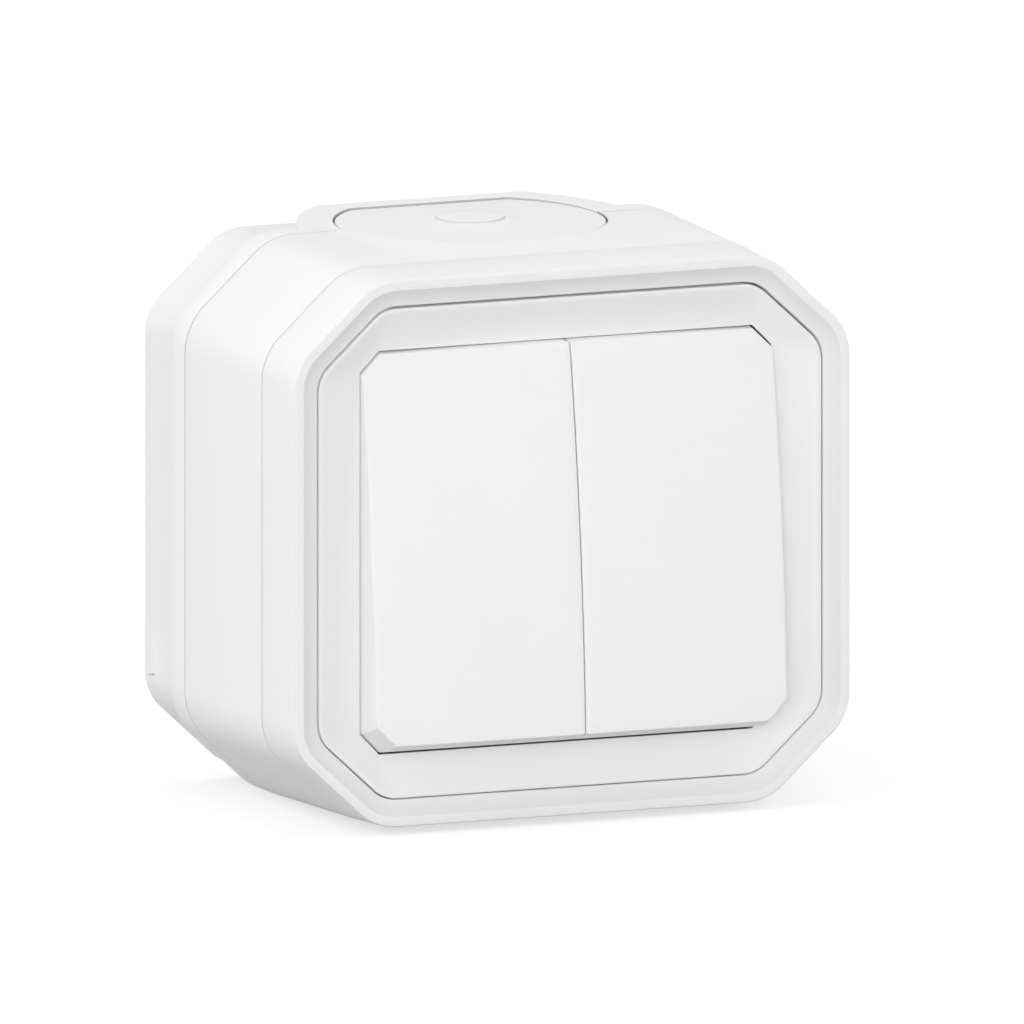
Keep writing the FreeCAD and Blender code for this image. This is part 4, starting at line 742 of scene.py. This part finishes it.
@dataclass
class RockerKey:
    """One rocker key, tilted about its pivot."""

    body: Body
    pivot: float = 47.8
    radius: float = 27.8
    reach: float = 7.605
    crown: float = 0.9
    side_crown: float = 1.22
    roof: float = 2.3
    tail: float = 1.3
    wall: float = 1.7
    half_gap: float = 0.09
    outer: float = 30.32
    cut: float = 2.8
    round_edge: float = 0.16
    seam_round: float = 0.05
    corner: float = 0.35
    tilt: float = 5.91
    relief_depth: float = 4.0
    relief_half: float = 14.0
    edge_points: int = 7
    wall_points: int = 10
    inside_points: int = 8
    face_points: int = 14
    face_start: float = 0.02
    arc_steps: int = 6
    side_steps: int = 24

    @property
    def sign(self) -> int:
        """Return the side of the switch that the key is on."""
        return -1 if self.body is Body.LEFT else 1

    @property
    def end(self) -> float:
        """Return how far the face reaches up and down from the pivot."""
        return math.sqrt(self.radius ** 2 - self.reach ** 2)

    def corners(self, depth: Array, inset: Array, seam_inset: Array) -> Array:
        """Return the corners of the key's sections, stepped in.

        The ends and the cut outer corners follow circles about the pivot.

        Args:
            depth: Depth of each section from the pivot.
            inset: Step inwards of the ends and of the outer side.
            seam_inset: Step inwards of the side towards the other key.

        Returns:
            Corners (x, z), shaped (sections, 6, 2).
        """
        high = np.sqrt(self.radius ** 2 - depth ** 2) - inset
        near, far = self.half_gap + seam_inset, self.outer - inset
        cut = self.cut - inset * (2 - math.sqrt(2))
        across = np.stack([near, far - cut, far, far, far - cut, near], axis=1)
        upwards = np.stack([-high, -high, -high + cut, high - cut, high, high], axis=1)
        return np.stack([across, upwards], axis=-1)

    def build(self) -> bpy.types.Object:
        """Build the key as a hollow shell: face, rounded edge, curved ends, back edge and the inside.

        The face rises over its ends by a parabola of the height and falls to its outer side by a parabola
        of the width. The walls take up both towards the back. The wall beside the other key is cut short
        in the middle, over the support of the axle.
        """
        turn = quarter_turn(self.edge_points)
        front_depth = self.reach - self.round_edge * (1 - np.cos(turn))
        fall = 1 - np.sin(turn)
        side_depth = np.linspace(self.reach - self.round_edge, -self.tail, self.wall_points)[1:]
        inner_depth = np.linspace(-self.tail, self.reach - self.roof, self.inside_points)
        depth = np.concatenate([front_depth, side_depth, inner_depth])
        behind = [np.zeros(len(side_depth)), np.full(len(inner_depth), self.wall)]
        inset = np.concatenate([self.round_edge * fall, *behind])
        seam_inset = np.concatenate([self.seam_round * fall, *behind])
        carried = np.concatenate([np.ones(len(turn)), np.linspace(1, 0, self.wall_points)[1:],
                                  np.zeros(self.inside_points)])
        sections = self.corners(depth, inset, seam_inset)
        flat = rounded_polygon(sections, np.full(sections.shape[:2], self.corner),
                               self.arc_steps, self.side_steps)
        share = np.linspace(self.face_start, 1, self.face_points)[:-1]
        middle = np.array([(self.half_gap + self.outer) / 2, 0.0])
        face = middle + share[:, None, None] * (flat[:1] - middle)
        flat = np.concatenate([face, flat])
        depth = np.concatenate([np.full(len(share), self.reach), depth])
        carried = np.concatenate([np.ones(len(share)), carried])
        rise = self.crown * (1 - np.minimum(np.abs(flat[..., 1]) / self.end, 1) ** 2)
        rise = rise - self.side_crown * (flat[..., 0] / self.outer) ** 2
        levels = depth[:, None] + carried[:, None] * rise
        beside = flat[..., 0] < self.half_gap + self.wall + self.corner
        relieved = beside & (np.abs(flat[..., 1]) < self.relief_half)
        levels = np.where(relieved, np.maximum(levels, self.relief_depth), levels)
        angle = math.radians(self.tilt)
        rows = np.stack([
            self.sign * flat[..., 0],
            self.pivot + levels * math.cos(angle) - flat[..., 1] * math.sin(angle),
            flat[..., 1] * math.cos(angle) + levels * math.sin(angle)], axis=-1)
        return Skin().tube(rows).piece(f"{self.body.value}_key_cap")


@dataclass
class CableGland:
    """Soft disc that closes the cable entry."""

    entry: CableEntry = field(default_factory=CableEntry)
    edge_points: int = 8
    step_margin: float = 0.5
    step_dip: float = 0.01
    step_land: float = 0.4
    nipple_foot: float = 0.15
    nipple_lean: float = 0.12
    nipple_round: float = 0.3
    nipple_side: tuple[float, float] = (0.2, 0.8)
    mark_inset: float = 0.2
    mark_width: float = 0.3

    def build(self) -> bpy.types.Object:
        """Build the gland as loops about its axis, from the hollow neck over the edge to the nipple."""
        entry = self.entry
        floor = entry.top - entry.seat
        neck = entry.radius - entry.lip
        neck_flat = entry.flat - entry.neck_inset
        top = entry.top
        edge = top - entry.disc_fall - entry.edge_round
        loops = [
            (neck - entry.neck_wall, neck_flat - entry.neck_wall, floor),
            (neck - entry.neck_wall, neck_flat - entry.neck_wall, floor - entry.neck_length),
            (neck, neck_flat, floor - entry.neck_length), (neck, neck_flat, floor),
            (entry.radius, entry.flat, floor),
        ]
        for angle in quarter_turn(self.edge_points):
            inwards = entry.edge_round * (1 - math.cos(angle))
            level = edge + entry.edge_round * math.sin(angle)
            loops.append((entry.radius - inwards, entry.flat - inwards, level))
        raised = top + entry.step_rise
        nipple, rise = entry.nipple_radius, entry.nipple_rise
        low, high = self.nipple_side
        rounds = [
            (entry.step_outer + self.step_margin, top - self.step_dip), (entry.step_outer, top),
            (entry.step_inner, raised), (entry.step_inner - self.step_land, raised),
            (nipple + self.nipple_foot, raised), (nipple, raised + low * rise),
            (nipple - self.nipple_lean, raised + high * rise),
            (nipple - self.nipple_round, raised + rise), (nipple / 2, raised + rise),
        ]
        loops += [(radius, radius, level) for radius, level in rounds]
        piece = Skin().tube(entry.stack(loops)).piece("cable_gland_disc")
        # painted shade: a dark ring round the nipple's side
        paint_gap_shade(piece, lambda middle, normal: self.painted_nipple_ring(middle, raised))
        return piece

    def painted_nipple_ring(self, middle: Array, raised: float) -> Array:
        """Return the painted shade of the faces round the nipple's side, a dark ring.

        Args:
            middle: Middles of the faces, shaped (faces, 3).
            raised: Height above which the nipple stands.

        Returns:
            One mark per face.
        """
        entry = self.entry
        near = entry.nipple_radius - self.mark_inset
        distance = np.hypot(middle[:, 0], middle[:, 1] - entry.middle)
        at_edge = (distance > near) & (distance < near + self.mark_width)
        return entry.painted_nipple_shade * (at_edge & (middle[:, 2] > raised))


@dataclass(frozen=True)
class Finish:
    """Base of the finishes: a principled surface with a fine grain."""

    slot: Slot
    colour: tuple[float, float, float]
    roughness: float
    grain: float = 900.0
    relief: float = 0.04
    mottle: float = 0.03
    metallic: float = 0.0
    specular: float = 0.4
    cloud_size: float = 12.0
    cloud_detail: float = 4.0
    cloud_range: tuple[float, float] = (0.3, 0.7)
    roughness_spread: float = 0.1
    grain_detail: float = 3.0
    grain_height: float = 0.0002
    # painted shade: share of the colour left on a face that is fully marked
    painted_shade_tone: float = 0.12

    def material(self) -> bpy.types.Material:
        """Make the material: two noises vary its tone and roughness, a third raises its grain, and the
        attribute of painted shade darkens its colour.
        """
        made = bpy.data.materials.new(self.slot.value)
        made.use_nodes = True
        nodes, links = made.node_tree.nodes, made.node_tree.links
        shader = nodes["Principled BSDF"]
        shader.inputs["Metallic"].default_value = self.metallic
        shader.inputs["Specular IOR Level"].default_value = self.specular
        place = nodes.new("ShaderNodeTexCoord")
        clouds = nodes.new("ShaderNodeTexNoise")
        clouds.inputs["Scale"].default_value = self.grain / self.cloud_size
        clouds.inputs["Detail"].default_value = self.cloud_detail
        links.new(place.outputs["Object"], clouds.inputs["Vector"])
        ramp = nodes.new("ShaderNodeValToRGB")
        shares = (1 - self.mottle, 1.0)
        for stop, share, position in zip(ramp.color_ramp.elements, shares, self.cloud_range):
            stop.color = (*(share * part for part in self.colour), 1.0)
            stop.position = position
        links.new(clouds.outputs["Fac"], ramp.inputs["Fac"])
        # painted shade: the face attribute darkens the colour of faces in gaps, seams and slopes
        gap = nodes.new("ShaderNodeAttribute")
        gap.attribute_name = PAINTED_SHADE
        light = nodes.new("ShaderNodeMapRange")
        light.inputs["To Min"].default_value = 1.0
        light.inputs["To Max"].default_value = self.painted_shade_tone
        links.new(gap.outputs["Fac"], light.inputs["Value"])
        tone = nodes.new("ShaderNodeVectorMath")
        tone.operation = "SCALE"
        links.new(ramp.outputs["Color"], tone.inputs["Vector"])
        links.new(light.outputs["Result"], tone.inputs["Scale"])
        links.new(tone.outputs["Vector"], shader.inputs["Base Color"])
        spread = nodes.new("ShaderNodeMapRange")
        spread.inputs["To Min"].default_value = self.roughness * (1 - self.roughness_spread)
        spread.inputs["To Max"].default_value = self.roughness * (1 + self.roughness_spread)
        links.new(clouds.outputs["Fac"], spread.inputs["Value"])
        links.new(spread.outputs["Result"], shader.inputs["Roughness"])
        grain = nodes.new("ShaderNodeTexNoise")
        grain.inputs["Scale"].default_value = self.grain
        grain.inputs["Detail"].default_value = self.grain_detail
        links.new(place.outputs["Object"], grain.inputs["Vector"])
        bump = nodes.new("ShaderNodeBump")
        bump.inputs["Strength"].default_value = self.relief
        bump.inputs["Distance"].default_value = self.grain_height
        links.new(grain.outputs["Fac"], bump.inputs["Height"])
        links.new(bump.outputs["Normal"], shader.inputs["Normal"])
        return made


FINISHES = (
    Finish(Slot.CASE, (0.85, 0.85, 0.85), 0.45, relief=0.05, mottle=0.012),
    Finish(Slot.FRONT, (0.85, 0.85, 0.85), 0.45, mottle=0.012),
    Finish(Slot.KEY, (0.86, 0.86, 0.86), 0.38, relief=0.02, mottle=0.01),
    Finish(Slot.GLAND, (0.87, 0.87, 0.87), 0.60, relief=0.05, mottle=0.012),
    Finish(Slot.SEAL, (0.025, 0.025, 0.027), 0.65),
    Finish(Slot.FRAME, (0.26, 0.28, 0.31), 0.45),
    Finish(Slot.BLOCK, (0.57, 0.57, 0.54), 0.45),
    Finish(Slot.COVER, (0.03, 0.05, 0.07), 0.45),
    Finish(Slot.CRADLE, (0.45, 0.46, 0.47), 0.40),
    Finish(Slot.PLUNGER, (0.79, 0.77, 0.70), 0.35),
    Finish(Slot.SPRING, (0.55, 0.55, 0.56), 0.25, metallic=1.0),
    Finish(Slot.STEEL, (0.58, 0.58, 0.59), 0.32, metallic=1.0),
    Finish(Slot.COPPER, (0.78, 0.40, 0.25), 0.30, metallic=1.0),
    Finish(Slot.BRASS, (0.76, 0.58, 0.27), 0.30, metallic=1.0),
    Finish(Slot.CONTACT, (0.78, 0.78, 0.76), 0.22, metallic=1.0),
)


class Wardrobe:
    """The finishes as materials, handed out by slot."""

    def __init__(self) -> None:
        """Make every material once."""
        self.materials = {finish.slot: finish.material() for finish in FINISHES}

    def dress(self, piece: bpy.types.Object, slot: Slot) -> None:
        """Give a piece the material of a slot."""
        piece.data.materials.clear()
        piece.data.materials.append(self.materials[slot])

    def dress_nodes(self) -> None:
        """Give every carried-over node the material of its own slot."""
        for part in frame["record"]["subparts"]:
            node = frame["nodes"][part["node"]]
            material = self.materials[Slot(part["material_slot"])]
            for place in node.material_slots:
                place.material = material


def looked_at(tree: bpy.types.NodeTree) -> bpy.types.NodeSocket:
    """Return a socket that is 1 where the camera looks, straight or by a reflection, and otherwise 0."""
    rays = tree.nodes.new("ShaderNodeLightPath")
    value = rays.outputs["Is Camera Ray"]
    for kind in ("Is Glossy Ray", "Is Transmission Ray"):
        either = tree.nodes.new("ShaderNodeMath")
        either.operation = "MAXIMUM"
        tree.links.new(value, either.inputs[0])
        tree.links.new(rays.outputs[kind], either.inputs[1])
        value = either.outputs["Value"]
    return value


@dataclass(frozen=True)
class SoftWall:
    """One soft light of the studio: brightest along its axis, falling off by a power of the cosine."""

    axis: tuple[float, float, float]
    sharpness: float
    strength: float

    def glow(self, tree: bpy.types.NodeTree, direction: bpy.types.NodeSocket) -> bpy.types.NodeSocket:
        """Work out the wall's brightness in a direction.

        Args:
            tree: Nodes of the world.
            direction: Socket with the direction.

        Returns:
            Socket with the brightness.
        """
        along = tree.nodes.new("ShaderNodeVectorMath")
        along.operation = "DOT_PRODUCT"
        along.inputs[1].default_value = self.axis
        tree.links.new(direction, along.inputs[0])
        value = along.outputs["Value"]
        steps = (("MAXIMUM", 0.0), ("POWER", self.sharpness), ("MULTIPLY", self.strength))
        for operation, number in steps:
            step = tree.nodes.new("ShaderNodeMath")
            step.operation = operation
            step.inputs[1].default_value = number
            tree.links.new(value, step.inputs[0])
            value = step.outputs["Value"]
        return value


@dataclass
class Studio:
    """Camera, floor and lights, set up as the photograph was taken."""

    azimuth: float = 23.15
    elevation: float = 9.476
    distance: float = 6.0
    pixels_per_metre: float = 7355.0
    image_width: float = 1024.0
    aim_right: float = 0.01279
    aim_up: float = -0.00404
    floor_level: float = -0.03875
    floor_half: float = 14.0
    floor_tone: tuple[float, float, float, float] = (0.44, 0.44, 0.44, 1.0)
    floor_roughness: float = 0.9
    floor_glow: float = 0.65
    view_depth: float = 100.0
    walls: tuple[SoftWall, ...] = (
        SoftWall((-0.388, -0.907, 0.165), 32.0, 7.15),
        SoftWall((0.0, 0.0, 1.0), 8.0, 1.8),
        SoftWall((0.0, -1.0, 0.0), 8.0, 1.38),
        SoftWall((-1.0, 0.0, 0.0), 2.0, 2.22),
        SoftWall((1.0, 0.0, 0.0), 2.0, 1.76),
    )

    def camera(self) -> None:
        """Place the camera; the photograph shows parallel edges, so its rays are parallel."""
        turn, lift = math.radians(self.azimuth), math.radians(self.elevation)
        right = np.array([math.cos(turn), -math.sin(turn), 0.0])
        up = np.array([
            math.sin(turn) * math.sin(lift), math.cos(turn) * math.sin(lift), math.cos(lift)])
        back = np.cross(right, up)
        data = bpy.data.cameras.new("camera")
        data.type = "ORTHO"
        data.ortho_scale = self.image_width / self.pixels_per_metre
        data.clip_end = self.view_depth
        camera = bpy.data.objects.new("camera", data)
        target = self.aim_right * right + self.aim_up * up
        matrix = np.eye(4)
        matrix[:3, 0], matrix[:3, 1], matrix[:3, 2] = right, up, back
        matrix[:3, 3] = target + back * self.distance
        camera.matrix_world = Matrix(matrix.tolist())
        bpy.context.scene.collection.objects.link(camera)
        bpy.context.scene.camera = camera

    def floor(self) -> None:
        """Lay the pale floor that the switch stands on."""
        half, level = self.floor_half, self.floor_level
        mesh = bpy.data.meshes.new("floor")
        corners = [(-half, -half, level), (half, -half, level), (half, half, level), (-half, half, level)]
        mesh.from_pydata(corners, [], [(0, 1, 2, 3)])
        floor = bpy.data.objects.new("floor", mesh)
        bpy.context.scene.collection.objects.link(floor)
        material = bpy.data.materials.new("floor")
        material.use_nodes = True
        tree = material.node_tree
        shader = tree.nodes["Principled BSDF"]
        shader.inputs["Base Color"].default_value = self.floor_tone
        shader.inputs["Roughness"].default_value = self.floor_roughness
        shader.inputs["Specular IOR Level"].default_value = 0.0
        shader.inputs["Emission Color"].default_value = WHITE
        glow = tree.nodes.new("ShaderNodeMath")
        glow.operation = "MULTIPLY"
        glow.inputs[1].default_value = self.floor_glow
        tree.links.new(looked_at(tree), glow.inputs[0])
        tree.links.new(glow.outputs["Value"], shader.inputs["Emission Strength"])
        mesh.materials.append(material)
        floor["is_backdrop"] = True

    def lights(self) -> None:
        """Light the switch by the sum of the soft walls, with plain white where the camera looks."""
        world = bpy.data.worlds.new("studio")
        world.use_nodes = True
        nodes, links = world.node_tree.nodes, world.node_tree.links
        place = nodes.new("ShaderNodeTexCoord")
        strength = nodes.new("ShaderNodeMapRange")
        strength.inputs["To Max"].default_value = 1.0
        links.new(looked_at(world.node_tree), strength.inputs["Value"])
        glows = [wall.glow(world.node_tree, place.outputs["Generated"]) for wall in self.walls]
        total = glows[0]
        for glow in glows[1:]:
            both = nodes.new("ShaderNodeMath")
            links.new(total, both.inputs[0])
            links.new(glow, both.inputs[1])
            total = both.outputs["Value"]
        links.new(total, strength.inputs["To Min"])
        links.new(strength.outputs["Result"], nodes["Background"].inputs["Strength"])
        nodes["Background"].inputs["Color"].default_value = WHITE
        bpy.context.scene.world = world

    def build(self) -> None:
        """Set up the whole studio."""
        bpy.context.scene.view_settings.view_transform = "Standard"
        self.camera()
        self.floor()
        self.lights()


@dataclass
class Switch:
    """The whole switch: new pieces over the frame, each on its body and in its finish."""

    wardrobe: Wardrobe = field(default_factory=Wardrobe)

    def add(self, piece: bpy.types.Object, body: Body, slot: Slot, *nodes: str) -> None:
        """Put a finished piece on its body.

        Args:
            piece: The new piece.
            body: The body it rides on.
            slot: The slot whose finish it gets.
            nodes: The nodes that it stands in for.
        """
        self.wardrobe.dress(piece, slot)
        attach(piece, body.value)
        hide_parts(*nodes)
        faces = len(piece.data.polygons)
        LOG.info("%s: %d faces, in place of %s", piece.name, faces, ", ".join(nodes))

    def build(self) -> None:
        """Build and dress every piece."""
        self.wardrobe.dress_nodes()
        shells = CaseShells()
        self.add(shells.base(), Body.CASE, Slot.CASE, "rear_base")
        self.add(shells.housing(), Body.CASE, Slot.CASE, "middle_housing")
        self.add(shells.collar(), Body.CASE, Slot.CASE, "front_collar")
        self.add(KeySurround().build(), Body.CASE, Slot.FRONT, "key_surround")
        self.add(CableGland().build(), Body.CASE, Slot.GLAND, "cable_gland")
        for body, node in ((Body.LEFT, "left_key"), (Body.RIGHT, "right_key")):
            self.add(RockerKey(body).build(), body, Slot.KEY, node)


def visual_box() -> list[list[float]]:
    """Return the lowest and highest corner of everything that shows, floor and studio left out."""
    bpy.context.view_layer.update()
    graph = bpy.context.evaluated_depsgraph_get()
    corners = []
    for piece in bpy.data.objects:
        if piece.type != "MESH" or piece.hide_render or piece.name == "floor":
            continue
        shown = piece.evaluated_get(graph)
        corners += [shown.matrix_world @ vertex.co for vertex in shown.data.vertices]
    places = np.array(corners)
    return [places.min(axis=0).tolist(), places.max(axis=0).tolist()]


def main() -> None:
    """Build the switch and its studio."""
    logging.basicConfig(level=logging.INFO, format="%(name)s: %(message)s")
    solid_box = [list(corner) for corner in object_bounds()]
    Switch().build()
    Studio().build()
    json.dumps({"cad": solid_box, "visual": visual_box()})


if __name__ == "__main__":
    main()
